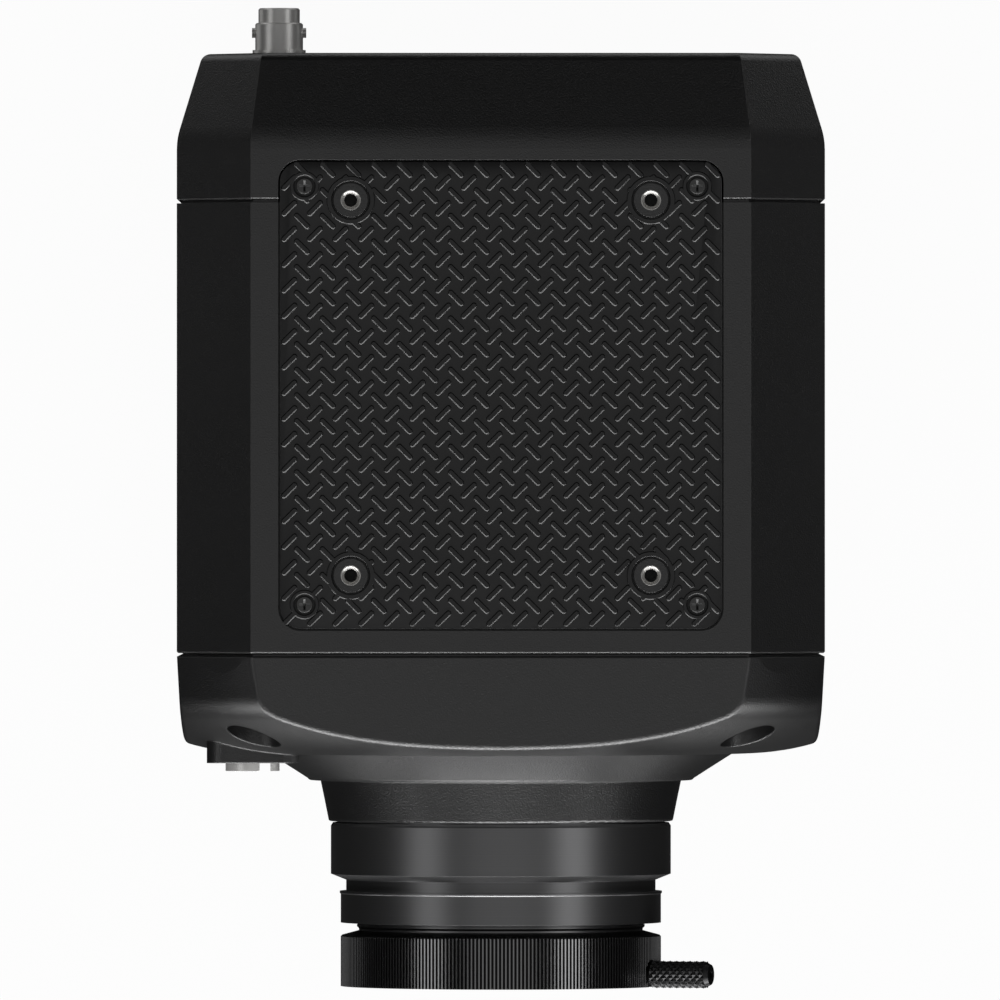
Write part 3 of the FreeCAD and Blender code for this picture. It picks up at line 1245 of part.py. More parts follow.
# Remote socket and power inlet, below the rear plane
def rear_sockets():
    back_y = rear_board_y + S.screw_play * 4
    rim_y = panel_y + S.remote_flange_thickness
    edge = S.small_edge
    turned(
        "remote_socket_shell",
        (back_y, S.remote_insert), (back_y, S.remote_radius), (panel_y, S.remote_radius),
        (panel_y, S.remote_flange), (rim_y - edge, S.remote_flange), (rim_y, S.remote_flange - edge),
        (rim_y, S.remote_insert),
        x=S.remote_x,
    )
    insert = S.remote_insert - S.screw_play
    face = insert - S.remote_insert_step
    turned(
        "remote_socket_insert",
        (back_y, 0), (back_y, insert), (panel_y, insert), (panel_y, face), (rim_y - edge, face),
        (rim_y - edge, 0),
        x=S.remote_x,
    )
    turned(
        "remote_socket_nut",
        (panel_back_y - S.jack_nut_thickness, S.remote_radius + S.screw_play),
        (panel_back_y - S.jack_nut_thickness, S.remote_nut), (panel_back_y, S.remote_nut),
        (panel_back_y, S.remote_radius + S.screw_play),
        x=S.remote_x,
    )

    shell = new_body("dc_inlet_shell", x=S.inlet_x)
    flange_y = panel_y + S.inlet_flange_thickness
    flange = new_sketch(shell, "XZ_Plane", -panel_y)
    wide = S.inlet_flange_width / 2
    tall = S.inlet_flange_height / 2
    outline(flange, *rounded_rectangle(-wide, wide, -tall, tall, S.panel_corner))
    pad(shell, flange, S.inlet_flange_thickness, backwards=True)
    barrel = new_sketch(shell, "XZ_Plane", -panel_y)
    circle(barrel, 0, 0, S.inlet_radius)
    pad(shell, barrel, panel_y - back_y)
    mouth = new_sketch(shell, "XZ_Plane", -flange_y)
    circle(mouth, 0, 0, S.inlet_cavity)
    floor_y = back_y + S.inlet_floor
    pocket(shell, mouth, flange_y - floor_y, backwards=True)
    holes = new_sketch(shell, "XZ_Plane", -flange_y)
    for side in (-1, 1):
        circle(holes, S.inlet_screw_x * side, S.inlet_screw_z * side, S.inlet_screw_radius + S.slide_play)
    pocket(shell, holes, S.inlet_flange_thickness * 2, backwards=True)

    insert = new_body("dc_inlet_insert", x=S.inlet_x)
    disc = new_sketch(insert, "XZ_Plane", -floor_y)
    circle(disc, 0, 0, S.inlet_cavity - S.screw_play)
    at = S.inlet_pin_circle / math.sqrt(2)
    four_circles(disc, at, at, S.inlet_pin_radius + S.screw_play)
    pad(insert, disc, S.inlet_insert, backwards=True)
    pins = []
    screws = []
    tip_y = flange_y - S.inlet_pin_back
    for place, (x, z) in enumerate(((1, 1), (1, -1), (-1, 1), (-1, -1))):
        pins.append(turned(
            f"dc_inlet_pin_{place}",
            (floor_y, 0), (floor_y, S.inlet_pin_radius), (tip_y - edge, S.inlet_pin_radius),
            (tip_y, S.inlet_pin_radius - edge), (tip_y, 0),
            x=S.inlet_x + at * x, z=axis_height + at * z,
        ))
    joined("dc_inlet_pins", pins)
    for side in (-1, 1):
        head_y = flange_y + edge * 2
        screws.append(turned(
            f"dc_inlet_screw_{side + 1}",
            (panel_back_y, 0), (panel_back_y, S.inlet_screw_radius), (flange_y, S.inlet_screw_radius),
            (flange_y, S.inlet_screw_head), (head_y, S.inlet_screw_head - edge), (head_y, 0),
            x=S.inlet_x + S.inlet_screw_x * side, z=axis_height + S.inlet_screw_z * side,
        ))
    joined("dc_inlet_screws", screws)


# Keys and power switch in the rear panel, with the rear board that carries their contacts
def rear_controls():
    cap_y = panel_y + S.menu_key_stand
    collar_y = panel_back_y - S.slide_play
    foot_y = collar_y - S.key_collar_thickness
    switches = []
    for name, x, z in (("menu", -1, 0), ("set", 1, 0), ("up", 0, 1), ("down", 0, -1)):
        key_x = S.keys_x + S.key_offset * x
        key_z = S.keys_z + S.key_offset * z
        turned(
            f"key_{name}",
            (foot_y, 0), (foot_y, S.key_collar), (collar_y, S.key_collar), (collar_y, S.menu_key_radius),
            (cap_y - S.small_edge, S.menu_key_radius), (cap_y, S.menu_key_radius - S.small_edge),
            (cap_y, 0),
            x=key_x, z=axis_height + key_z,
        )
        side = S.key_switch_side / 2
        switches.append(block(
            f"key_switch_{name}", (key_x - side, key_x + side),
            (rear_board_y, rear_board_y + S.key_switch_height), (key_z - side, key_z + side),
        ))
    joined("key_switches", switches)

    slider = new_body("power_switch", x=S.keys_x - S.switch_travel / 2)
    half_x = S.switch_width / 2
    half_z = S.switch_height / 2
    knob = new_sketch(slider, "XZ_Plane", -collar_y)
    outline(knob, *rectangle(-half_x, half_x, S.switch_z - half_z, S.switch_z + half_z))
    pad(slider, knob, panel_y + S.switch_stand - collar_y, backwards=True)
    rim = new_sketch(slider, "XZ_Plane", -collar_y)
    rim_x = half_x + S.switch_rim
    rim_z = half_z + S.switch_rim
    outline(rim, *rectangle(-rim_x, rim_x, S.switch_z - rim_z, S.switch_z + rim_z))
    pad(slider, rim, S.key_collar_thickness)
    reach = rim_x + S.switch_travel
    block(
        "power_switch_body", (S.keys_x - reach, S.keys_x + reach),
        (rear_board_y, rear_board_y + S.switch_body_height),
        (S.switch_z - rim_z, S.switch_z + rim_z),
    )

    wide = rear_board_width / 2
    tall = S.rear_board_height / 2
    block("rear_board", (-wide, wide), (rear_board_y - S.board_thickness, rear_board_y), (-tall, tall))
    post = turned(
        "rear_board_post",
        (rear_board_y, 0), (rear_board_y, S.post_radius), (panel_back_y, S.post_radius), (panel_back_y, 0),
        x=wide - S.post_inset, z=axis_height + tall - S.post_inset,
    )
    four_of("rear_board_posts", post, (0, 0, 1), axis_point)


# Image sensor on its board and carrier, with the filter sector that swings in front of it
def imaging():
    carrier_back_y = carrier_y + S.carrier_thickness
    sensor_x = S.sensor_width / 2
    sensor_z = S.sensor_height / 2
    pivot_z = -S.pivot_drop
    carrier = new_body("sensor_carrier")
    face = new_sketch(carrier, "XZ_Plane", -carrier_y)
    half = S.carrier_side / 2
    cut = half - S.carrier_corner
    outline(
        face,
        (cut, -half), (half, -cut), (half, cut), (cut, half),
        (-cut, half), (-half, cut), (-half, -cut), (-cut, -half),
    )
    outline(face, *rectangle(-sensor_x - S.sensor_play, sensor_x + S.sensor_play, -sensor_z - S.sensor_play,
                             sensor_z + S.sensor_play))
    circle(face, 0, pivot_z, S.pivot_radius + S.sensor_play)
    four_circles(face, S.carrier_screw_at, S.carrier_screw_at, S.carrier_screw_radius + S.slide_play)
    pad(carrier, face, S.carrier_thickness, backwards=True)
    head_y = carrier_back_y + S.carrier_screw_head / 2
    bite_y = carrier_y - S.carrier_thickness
    screw = turned(
        "sensor_carrier_screw",
        (bite_y, 0), (bite_y, S.carrier_screw_radius), (carrier_back_y, S.carrier_screw_radius),
        (carrier_back_y, S.carrier_screw_head), (head_y, S.carrier_screw_head), (head_y, 0),
        x=S.carrier_screw_at, z=axis_height + S.carrier_screw_at,
    )
    four_of("sensor_carrier_screws", screw, (0, 0, 1), axis_point)

    glass_x = sensor_x - S.sensor_glass_inset
    glass_z = sensor_z - S.sensor_glass_inset
    board_y = carrier_back_y + S.board_thickness
    block("image_sensor", (-sensor_x, sensor_x), (carrier_y, carrier_back_y), (-sensor_z, sensor_z))
    glass_y = carrier_y - S.sensor_glass
    block("sensor_cover_glass", (-glass_x, glass_x), (glass_y, carrier_y), (-glass_z, glass_z))
    block("sensor_board", (-S.sensor_board_width / 2, S.sensor_board_width / 2), (carrier_back_y, board_y),
          (S.actuator_radius + S.sensor_board_rise - S.pivot_drop, S.sensor_board_up))
    block("sensor_heat_spreader", (-sensor_x, sensor_x), (board_y, board_y + S.spreader_thickness),
          (-sensor_z, sensor_z))

    sector_back_y = carrier_y - S.sector_rise
    sector_front_y = sector_back_y - S.sector_thickness
    motor_y = carrier_back_y + S.actuator_length
    turned(
        "filter_actuator",
        (sector_front_y, 0), (sector_front_y, S.pivot_radius), (carrier_back_y, S.pivot_radius),
        (carrier_back_y, S.actuator_radius), (motor_y, S.actuator_radius), (motor_y, 0),
        z=axis_height + pivot_z,
    )
    # The sector is drawn about its pivot: one filter straight above, the other a swing to the left
    sector = new_body("filter_sector", z=axis_height + pivot_z)
    web = new_sketch(sector, "XZ_Plane", -sector_back_y)
    far = S.pivot_drop + S.filter_radius + S.sector_rim
    spread = Length(
        math.degrees(math.asin(number_of((S.filter_radius + S.sector_rim) / S.pivot_drop))),
        f"(asin({text_of((S.filter_radius + S.sector_rim) / S.pivot_drop)}) / 1 deg)",
    )
    first = 90 - spread
    last = 90 + S.sector_swing + spread
    middle = 90 + S.sector_swing / 2
    outline(
        web,
        (0, -S.sector_hub / 2), (far * cosine(first), far * sine(first), far),
        (far * cosine(middle), far * sine(middle), far), (far * cosine(last), far * sine(last)),
    )
    pad(sector, web, S.sector_thickness)
    hub = new_sketch(sector, "XZ_Plane", -sector_back_y)
    circle(hub, 0, 0, S.sector_hub)
    pad(sector, hub, S.sector_thickness)
    shaft = new_sketch(sector, "XZ_Plane", -sector_back_y)
    circle(shaft, 0, 0, S.pivot_radius + S.screw_play)
    pocket(sector, shaft, backwards=True)
    windows = new_sketch(sector, "XZ_Plane", -sector_back_y)
    seats = new_sketch(sector, "XZ_Plane", -sector_front_y)
    arm = S.pivot_drop
    places = [(arm * cosine(90 + turn), arm * sine(90 + turn)) for turn in (0, S.sector_swing)]
    # The second glass takes the room that the swing leaves beside the first
    second_radius = arm * 2 * sine(S.sector_swing / 2) - S.filter_radius - S.filter_web
    radii = (S.filter_radius, second_radius)
    for (x, z), radius in zip(places, radii):
        circle(windows, x, z, radius - S.filter_lip)
        circle(seats, x, z, radius)
    pocket(sector, windows, backwards=True)
    pocket(sector, seats, S.filter_thickness)
    for label, (x, z), radius in zip(("ir_cut_filter", "clear_filter"), places, radii):
        glass = radius - S.screw_play
        turned(
            label,
            (sector_front_y, 0), (sector_front_y, glass), (sector_front_y + S.filter_thickness, glass),
            (sector_front_y + S.filter_thickness, 0),
            x=x, z=axis_height + pivot_z + z,
        )


# Circuit boards stacked on the floor of the housing
def electronics():
    wide = half_width - S.board_side_margin
    front_y = housing_front_y + S.board_front_margin
    back_y = housing_rear_y - S.board_rear_margin
    floor_z = S.wall_thickness - axis_height
    board_z = floor_z + S.lower_post
    board_top = board_z + S.board_thickness
    power_z = board_top + S.upper_post
    power_top = power_z + S.board_thickness
    middle_y = (front_y + back_y) / 2

    block("processor_board", (-wide, wide), (front_y, back_y), (board_z, board_top))
    block("power_board", (-wide, wide), (front_y, back_y), (power_z, power_top))
    posts = (("lower_board_posts", floor_z, board_z), ("upper_board_posts", board_top, power_z))
    for label, low, high in posts:
        post = turned(
            label,
            (0, 0), (0, S.post_radius), (high - low, S.post_radius), (high - low, 0),
            x=wide - S.post_inset, y=front_y + S.post_inset, z=axis_height + low, turn=UP,
        )
        four_of(label, post, (0, 1, 0), (0, middle_y, 0))

    chip = S.chip_side / 2
    chip_top = board_top + S.chip_thickness
    block("processor_chip", (-chip, chip), (middle_y - chip, middle_y + chip), (board_top, chip_top))
    memory = S.memory_side / 2
    memory_x = chip + S.memory_side
    memories = []
    for side in (-1, 1):
        for end in (-1, 1):
            x = memory_x * side
            y = middle_y + S.memory_side * end
            memories.append(block(
                f"memory_chip_{side + 1}{end + 1}", (x - memory, x + memory), (y - memory, y + memory),
                (board_top, board_top + S.memory_thickness),
            ))
    joined("memory_chips", memories)

    sink = new_body("heat_sink", y=middle_y)
    plan = new_sketch(sink, "XY_Plane", chip_top)
    half = S.sink_side / 2
    outline(plan, *rectangle(-half, half, -half, half))
    pad(sink, plan, S.sink_base)
    fin = new_sketch(sink, "XY_Plane", chip_top + S.sink_base)
    outline(fin, *rectangle(-half, -half + S.sink_fin_thickness, -half, half))
    first = pad(sink, fin, S.sink_fin)
    fin_count = 8
    pattern = sink.newObject("PartDesign::LinearPattern", "pattern")
    pattern.Originals = [first]
    pattern.Direction = (fin, ["H_Axis"])
    bind(pattern, "Length", S.sink_side - S.sink_fin_thickness)
    pattern.Occurrences = fin_count
    sink.Tip = pattern

    parts = []
    for place in (-1, 0, 1):
        parts.append(turned(
            f"power_part_{place + 1}",
            (0, 0), (0, S.power_part_radius), (S.power_part_height - S.small_edge, S.power_part_radius),
            (S.power_part_height, S.power_part_radius - S.small_edge), (S.power_part_height, 0),
            x=S.power_part_pitch * place, y=middle_y, z=axis_height + power_top, turn=UP,
        ))
    joined("power_parts", parts)


main_housing()
front_cover()
rear_cover()
top_plate()
tripod_bushes()
cover_screws()
mount_rings()
locking_ring()
lens_connector()
rear_panel()
video_jack()
rear_sockets()
rear_controls()
imaging()
electronics()
doc.recompute()

# Nothing is written unless every feature worked, every cut removed metal and every piece is sound
problems = []
for item in doc.Objects:
    if "Invalid" in item.State or "Error" in item.State:
        problems.append(f"{item.Label} failed: {item.State}")
    elif item.TypeId in ("PartDesign::Pocket", "PartDesign::Groove"):
        if item.Shape.Volume > item.BaseFeature.Shape.Volume - 1e-6:
            problems.append(f"{item.Label} in {item.getParentGeoFeatureGroup().Label} cut nothing")
for node in nodes:
    if node.Shape.isNull() or not node.Shape.isValid() or not node.Shape.Solids:
        problems.append(f"{node.Label} has no sound solid")
if problems:
    raise SystemExit("\n".join(problems))

os.makedirs("parts", exist_ok=True)
for node in nodes:
    node.Shape.exportStep(f"parts/{node.Label}.step")
print(f"{len(nodes)} nodes written")
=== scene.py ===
import bpy
import math
import mathutils
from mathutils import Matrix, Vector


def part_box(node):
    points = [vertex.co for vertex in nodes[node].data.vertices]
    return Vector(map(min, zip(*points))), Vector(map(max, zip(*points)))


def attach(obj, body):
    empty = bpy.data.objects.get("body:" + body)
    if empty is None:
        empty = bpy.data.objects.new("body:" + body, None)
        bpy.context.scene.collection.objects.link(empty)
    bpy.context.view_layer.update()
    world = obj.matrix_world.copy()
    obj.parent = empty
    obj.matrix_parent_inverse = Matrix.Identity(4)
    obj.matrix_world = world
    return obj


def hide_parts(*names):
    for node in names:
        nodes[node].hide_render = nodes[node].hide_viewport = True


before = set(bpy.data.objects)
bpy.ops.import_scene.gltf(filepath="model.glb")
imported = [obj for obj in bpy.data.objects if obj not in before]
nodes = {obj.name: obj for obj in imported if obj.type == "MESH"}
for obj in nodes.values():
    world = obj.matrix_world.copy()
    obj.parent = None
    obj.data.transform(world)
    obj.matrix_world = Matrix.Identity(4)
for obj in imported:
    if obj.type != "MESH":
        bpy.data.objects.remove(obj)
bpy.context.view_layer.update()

# Main housing, front cover and rear cover: three aluminium castings with machined joint faces.
# They are sprayed satin black, and the paint dries with a fine sand grain.
# Edges are softened a little, as paint rounds every corner it runs over.
MM = 0.001
paint_black = (0.004, 0.004, 0.0042)
paint_grey = (0.008, 0.008, 0.0084)
paint_roughness = 0.34
paint_gloss = 1.95
paint_grain = 0.08 * MM
casting_edge = 0.08 * MM
cover_edge = 0.5 * MM
shade_patches_per_metre = 35.0
grain_polish = 0.06


def add(tree, kind, inputs=None, **settings):
    """A shader node with its settings. An input is a plain value or another node's output."""
    item = tree.nodes.new(kind)
    for name, value in settings.items():
        setattr(item, name, value)
    for name, value in (inputs or {}).items():
        if isinstance(value, bpy.types.NodeSocket):
            tree.links.new(value, item.inputs[name])
        else:
            item.inputs[name].default_value = value
    return item


def new_group(name, inputs, outputs):
    """An empty shader group: number inputs with their start values, and outputs with their kinds."""
    tree = bpy.data.node_groups.new(name, "ShaderNodeTree")
    for socket, value in inputs.items():
        number = tree.interface.new_socket(socket, in_out="INPUT", socket_type="NodeSocketFloat")
        number.default_value = value
    for socket, kind in outputs.items():
        tree.interface.new_socket(socket, in_out="OUTPUT", socket_type=kind)
    return tree, tree.nodes.new("NodeGroupInput").outputs, tree.nodes.new("NodeGroupOutput").inputs


def sand_grain_group():
    """Sand grain: a normal with shallow bumps and softened edges, and a mask that follows the bumps."""
    tree, given, result = new_group(
        "sand_grain", {"Grains per metre": 3000.0, "Height": 0.00002, "Edge radius": 0.0001},
        {"Normal": "NodeSocketVector", "Mask": "NodeSocketFloat"},
    )
    place = add(tree, "ShaderNodeTexCoord").outputs["Object"]
    bumps = add(tree, "ShaderNodeTexNoise",
                {"Vector": place, "Scale": given["Grains per metre"], "Detail": 2.0, "Roughness": 0.6})
    edge = add(tree, "ShaderNodeBevel", {"Radius": given["Edge radius"]}, samples=6)
    bump = add(tree, "ShaderNodeBump", {"Height": bumps.outputs["Fac"], "Distance": given["Height"],
                                        "Normal": edge.outputs["Normal"]})
    tree.links.new(bump.outputs["Normal"], result["Normal"])
    tree.links.new(bumps.outputs["Fac"], result["Mask"])
    return tree


sand_grain = sand_grain_group()


def new_material(name):
    """A material with its tree and its Principled BSDF."""
    material = bpy.data.materials.new(name)
    material.use_nodes = True
    return material, material.node_tree, material.node_tree.nodes["Principled BSDF"]


def painted(name, dark, light, roughness, gloss=1.5, grains=3000.0, height=0.00002, edge=0.00012):
    """Satin paint or moulding whose shade drifts between two greys and whose grain catches the light."""
    material, tree, surface = new_material(name)
    grain = add(tree, "ShaderNodeGroup", {"Grains per metre": grains, "Height": height, "Edge radius": edge},
                node_tree=sand_grain)
    place = add(tree, "ShaderNodeTexCoord").outputs["Object"]
    drift = add(tree, "ShaderNodeTexNoise",
                {"Vector": place, "Scale": shade_patches_per_metre, "Detail": 3.0})
    blend = add(tree, "ShaderNodeMath", {0: drift.outputs["Fac"], 1: grain.outputs["Mask"]},
                operation="MULTIPLY")
    shade = add(tree, "ShaderNodeMix", {"Factor": blend.outputs["Value"], 6: (*dark, 1), 7: (*light, 1)},
                data_type="RGBA")
    rough = add(tree, "ShaderNodeMapRange",
                {"Value": grain.outputs["Mask"], "To Min": roughness - grain_polish,
                 "To Max": roughness + grain_polish})
    tree.links.new(shade.outputs[2], surface.inputs["Base Color"])
    tree.links.new(rough.outputs["Result"], surface.inputs["Roughness"])
    tree.links.new(grain.outputs["Normal"], surface.inputs["Normal"])
    surface.inputs["IOR"].default_value = gloss
    return material


def coat(piece, material):
    """Gives a piece one material in place of any it has."""
    piece.data.materials.clear()
    piece.data.materials.append(material)


def dress(material, *names):
    """Gives CAD nodes a material."""
    for name in names:
        coat(nodes[name], material)


body_paint = painted("body_paint", paint_black, paint_grey, paint_roughness, gloss=paint_gloss,
                     height=paint_grain, edge=casting_edge)
dress(body_paint, "main_housing", "rear_cover")
cover_paint = painted("cover_paint", paint_black, paint_grey, paint_roughness, gloss=paint_gloss,
                      height=paint_grain, edge=cover_edge)
dress(cover_paint, "front_cover")

# Tread plate: a stamped aluminium sheet let into the top, with crossed bars that stand a little proud.
# Raised rings surround the four bosses and the four screws, and the bars run into them.
# It is painted like the body, and four screws hold it.
plate_low, plate_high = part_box("top_plate")
plate_middle = (plate_low + plate_high) / 2
plate_corner = 4.2 * MM
plate_corner_segments = 10
plate_edge = 0.2 * MM
plate_edge_segments = 2
ring_height = 0.25 * MM
ring_edge = 0.17 * MM
ring_over_bars = 0.01 * MM
sheet_top = plate_high.z - ring_height
bar_height = ring_height - ring_over_bars
bar_length = 4.15 * MM
bar_width = 1.16 * MM
bar_edge = 0.2 * MM
bar_round_share = 0.49
bar_round_segments = 5
bar_turn = math.radians(45)
bar_pitch = 5.125 * MM
bar_stagger = 0.25
bar_columns = 17
bar_rows = 18
bar_shift = 0.235 * MM
boss_places = [(x * MM, y * MM) for x in (-30.0, 30.0) for y in (-15.0, 60.0)]
boss_hole = 3.75 * MM
boss_ring = 4.85 * MM
boss_lead = 0.18 * MM
screw_places = [(x * MM, y * MM) for x in (-39.25, 39.25) for y in (-20.8, 62.83)]
screw_hole = 2.03 * MM
screw_ring = 2.95 * MM
screw_lead = 0.24 * MM
screw_sink = 0.9 * MM
round_segments = 64
same_place = 0.01 * MM
weld_distance = 0.001 * MM
smooth_angle = math.radians(30)
plate_black = (0.003, 0.003, 0.0032)
plate_grey = (0.006, 0.006, 0.0063)
plate_roughness = 0.33
plate_gloss = 1.7
plate_grain = 0.006 * MM
plate_soft_edge = 0.03 * MM


def begin():
    """Leaves nothing selected, so that the next operator touches only the new piece."""
    bpy.ops.object.select_all(action="DESELECT")


def newest(name):
    """Names the piece that has just been added."""
    piece = bpy.context.object
    piece.name = name
    piece.data.name = name
    return piece


def settle(piece):
    """Puts a piece's place and turn into its mesh."""
    begin()
    piece.select_set(True)
    bpy.context.view_layer.objects.active = piece
    bpy.ops.object.transform_apply(location=True, rotation=True, scale=True)
    return piece


def pick(piece, kind, wanted):
    """Goes into edit mode with just those vertices, edges or faces selected that a test wants."""
    bpy.context.view_layer.objects.active = piece
    bpy.ops.object.mode_set(mode="EDIT")
    bpy.ops.mesh.select_mode(type=kind)
    bpy.ops.mesh.select_all(action="DESELECT")
    bpy.ops.object.mode_set(mode="OBJECT")
    mesh = piece.data
    for item in {"VERT": mesh.vertices, "EDGE": mesh.edges, "FACE": mesh.polygons}[kind]:
        item.select = wanted(item)
    bpy.ops.object.mode_set(mode="EDIT")


def leave_edit():
    bpy.ops.object.mode_set(mode="OBJECT")


def ends(piece, edge):
    """The two end points of an edge."""
    return [piece.data.vertices[k].co for k in edge.vertices]


def apply_modifier(piece, kind, **settings):
    """Adds a modifier to a piece and applies it."""
    bpy.context.view_layer.objects.active = piece
    modifier = piece.modifiers.new(kind.lower(), kind)
    for name, value in settings.items():
        setattr(modifier, name, value)
    bpy.ops.object.modifier_apply(modifier=modifier.name)


def remove(piece):
    bpy.data.objects.remove(piece, do_unlink=True)


def join(pieces, name):
    """Joins pieces into the first one."""
    begin()
    for piece in pieces:
        piece.select_set(True)
    bpy.context.view_layer.objects.active = pieces[0]
    bpy.ops.object.join()
    return newest(name)


def repeated(piece, places, name):
    """Copies a piece that stands on the Z axis to several places, as one piece."""
    copies = []
    for x, y in places:
        copy = piece.copy()
        copy.data = piece.data.copy()
        bpy.context.scene.collection.objects.link(copy)
        copy.location = (x, y, 0)
        copies.append(settle(copy))
    remove(piece)
    return join(copies, name)


def lathe(name, stations, segments, hollow):
    """A turned piece along Z from a list of radius and height. A hollow one closes on its first edge."""
    begin()
    radius, height = stations[0]
    fill = "NOTHING" if hollow else "NGON"
    bpy.ops.mesh.primitive_circle_add(vertices=segments, radius=radius, fill_type=fill,
                                      location=(0, 0, height))
    piece = settle(newest(name))
    bpy.ops.object.mode_set(mode="EDIT")
    bpy.ops.mesh.select_all(action="SELECT")
    for next_radius, next_height in stations[1:] + (stations[:1] if hollow else []):
        bpy.ops.mesh.extrude_region_move(TRANSFORM_OT_translate={"value": (0, 0, next_height - height)})
        grow = next_radius / radius
        bpy.ops.transform.resize(value=(grow, grow, 1), center_override=(0, 0, next_height))
        radius, height = next_radius, next_height
    bpy.ops.mesh.select_all(action="SELECT")
    bpy.ops.mesh.remove_doubles(threshold=weld_distance)
    bpy.ops.mesh.normals_make_consistent(inside=False)
    leave_edit()
    return piece


def drill(name, places, radius, bottom, top):
    """Round cutters at several places, as one piece."""
    begin()
    bpy.ops.mesh.primitive_cylinder_add(vertices=round_segments, radius=radius, depth=top - bottom,
                                        location=(0, 0, (top + bottom) / 2))
    return repeated(settle(newest(name)), places, name)


def cut(piece, tool):
    """Cuts a tool out of a piece and throws the tool away."""
    apply_modifier(piece, "BOOLEAN", operation="DIFFERENCE", object=tool, solver="MANIFOLD")
    remove(tool)


def sheet():
    """The flat sheet with round corners, a broken top edge and its holes."""
    begin()
    sheet_middle = (plate_middle.x, plate_middle.y, (plate_low.z + sheet_top) / 2)
    bpy.ops.mesh.primitive_cube_add(size=1, location=sheet_middle)
    piece = newest("sheet")
    piece.scale = (plate_high.x - plate_low.x, plate_high.y - plate_low.y, sheet_top - plate_low.z)
    settle(piece)
    pick(piece, "EDGE", lambda edge: abs(ends(piece, edge)[0].z - ends(piece, edge)[1].z) > MM)
    bpy.ops.mesh.bevel(offset=plate_corner, segments=plate_corner_segments, affect="EDGES")
    leave_edit()
    pick(piece, "EDGE", lambda edge: min(end.z for end in ends(piece, edge)) > sheet_top - same_place)
    bpy.ops.mesh.bevel(offset=plate_edge, segments=plate_edge_segments, affect="EDGES")
    leave_edit()
    cut(piece, drill("boss_holes", boss_places, boss_hole, plate_low.z - MM, plate_high.z + MM))
    cut(piece, drill("screw_holes", screw_places, screw_hole, plate_high.z - screw_sink, plate_high.z + MM))
    return piece


def bars(turn, shift):
    """One direction of bars: a bar is modelled once and repeated in columns and rows."""
    x = plate_middle.x + (shift - (bar_columns - 1) / 2) * bar_pitch
    y = plate_middle.y + bar_shift + (shift - (bar_rows - 1) / 2) * bar_pitch
    root = bar_height / 2
    begin()
    bpy.ops.mesh.primitive_cube_add(size=1, location=(0, 0, sheet_top + (bar_height - root) / 2))
    piece = newest("bars")
    piece.scale = (bar_length, bar_width, bar_height + root)
    settle(piece)
    pick(piece, "EDGE", lambda edge: abs(ends(piece, edge)[0].z - ends(piece, edge)[1].z) > bar_height)
    bpy.ops.mesh.bevel(offset=bar_width * bar_round_share, segments=bar_round_segments, affect="EDGES")
    leave_edit()
    pick(piece, "EDGE", lambda edge: min(end.z for end in ends(piece, edge)) > sheet_top + root)
    bpy.ops.mesh.bevel(offset=bar_edge, segments=1, affect="EDGES")
    leave_edit()
    piece.rotation_euler.z = turn
    piece.location = (x, y, 0)
    settle(piece)
    for count, step in ((bar_columns, (bar_pitch, 0, 0)), (bar_rows, (0, bar_pitch, 0))):
        apply_modifier(piece, "ARRAY", count=count, use_relative_offset=False, use_constant_offset=True,
                       constant_offset_displace=step)
    return piece


def raised_rings(places, hole, outside, lead):
    """Rings round the holes, one for each place."""
    top = sheet_top + ring_height
    low = sheet_top - ring_height / 2
    stations = [(hole, low), (outside, low), (outside, top - ring_edge), (outside - ring_edge, top),
                (hole + lead, top), (hole, top - lead)]
    return repeated(lathe("ring", stations, round_segments, hollow=True), places, "rings")


tread = join([bars(bar_turn, -bar_stagger), bars(-bar_turn, bar_stagger)], "bars")
for places, outside in ((boss_places, boss_ring), (screw_places, screw_ring)):
    cut(tread, drill("ring_discs", places, outside - ring_edge * 2, sheet_top - MM, plate_high.z + MM))
tread_plate = join(
    [sheet(), tread, raised_rings(boss_places, boss_hole, boss_ring, boss_lead),
     raised_rings(screw_places, screw_hole, screw_ring, screw_lead)],
    "tread_plate",
)
bpy.ops.object.shade_smooth_by_angle(angle=smooth_angle)
plate_paint = painted("plate_paint", plate_black, plate_grey, plate_roughness, gloss=plate_gloss,
                      height=plate_grain, edge=plate_soft_edge)
coat(tread_plate, plate_paint)
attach(tread_plate, "camera")
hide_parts("top_plate")

# Plate screws: four pan-head screws with cross recesses, sunk in the plate.
# They are turned from steel, the recess is punched and slopes down to the middle,
# and the steel is blackened, as on the camera's other screws.
screw_low, screw_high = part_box("top_plate_screws")
head_radius = 1.72 * MM
shank_radius = 0.95 * MM
head_bottom = plate_high.z - screw_sink
crown_edge = 0.22 * MM
cross_length = 2.2 * MM
cross_width = 0.46 * MM
cross_depth = 0.7 * MM
cross_end_depth = 0.1 * MM


def plate_screw():
    """One screw on the Z axis: a turned body, with four sloping arms sunk in its head."""
    stations = [(shank_radius, screw_low.z), (shank_radius, head_bottom), (head_radius, head_bottom),
                (head_radius, screw_high.z - crown_edge), (head_radius - crown_edge, screw_high.z)]
    screw = lathe("plate_screw", stations, round_segments, hollow=False)
    for quarter in range(4):
        begin()
        bpy.ops.mesh.primitive_cube_add(size=1, location=(cross_length / 4, 0, screw_high.z))
        arm = newest("arm")
        arm.scale = (cross_length / 2, cross_width, cross_depth * 2)
        settle(arm)
        pick(arm, "VERT", lambda point: point.co.z < screw_high.z and point.co.x > cross_length / 4)
        bpy.ops.transform.translate(value=(0, 0, cross_depth - cross_end_depth))
        leave_edit()
        arm.rotation_euler.z = quarter * math.radians(90)
        cut(screw, settle(arm))
    return screw


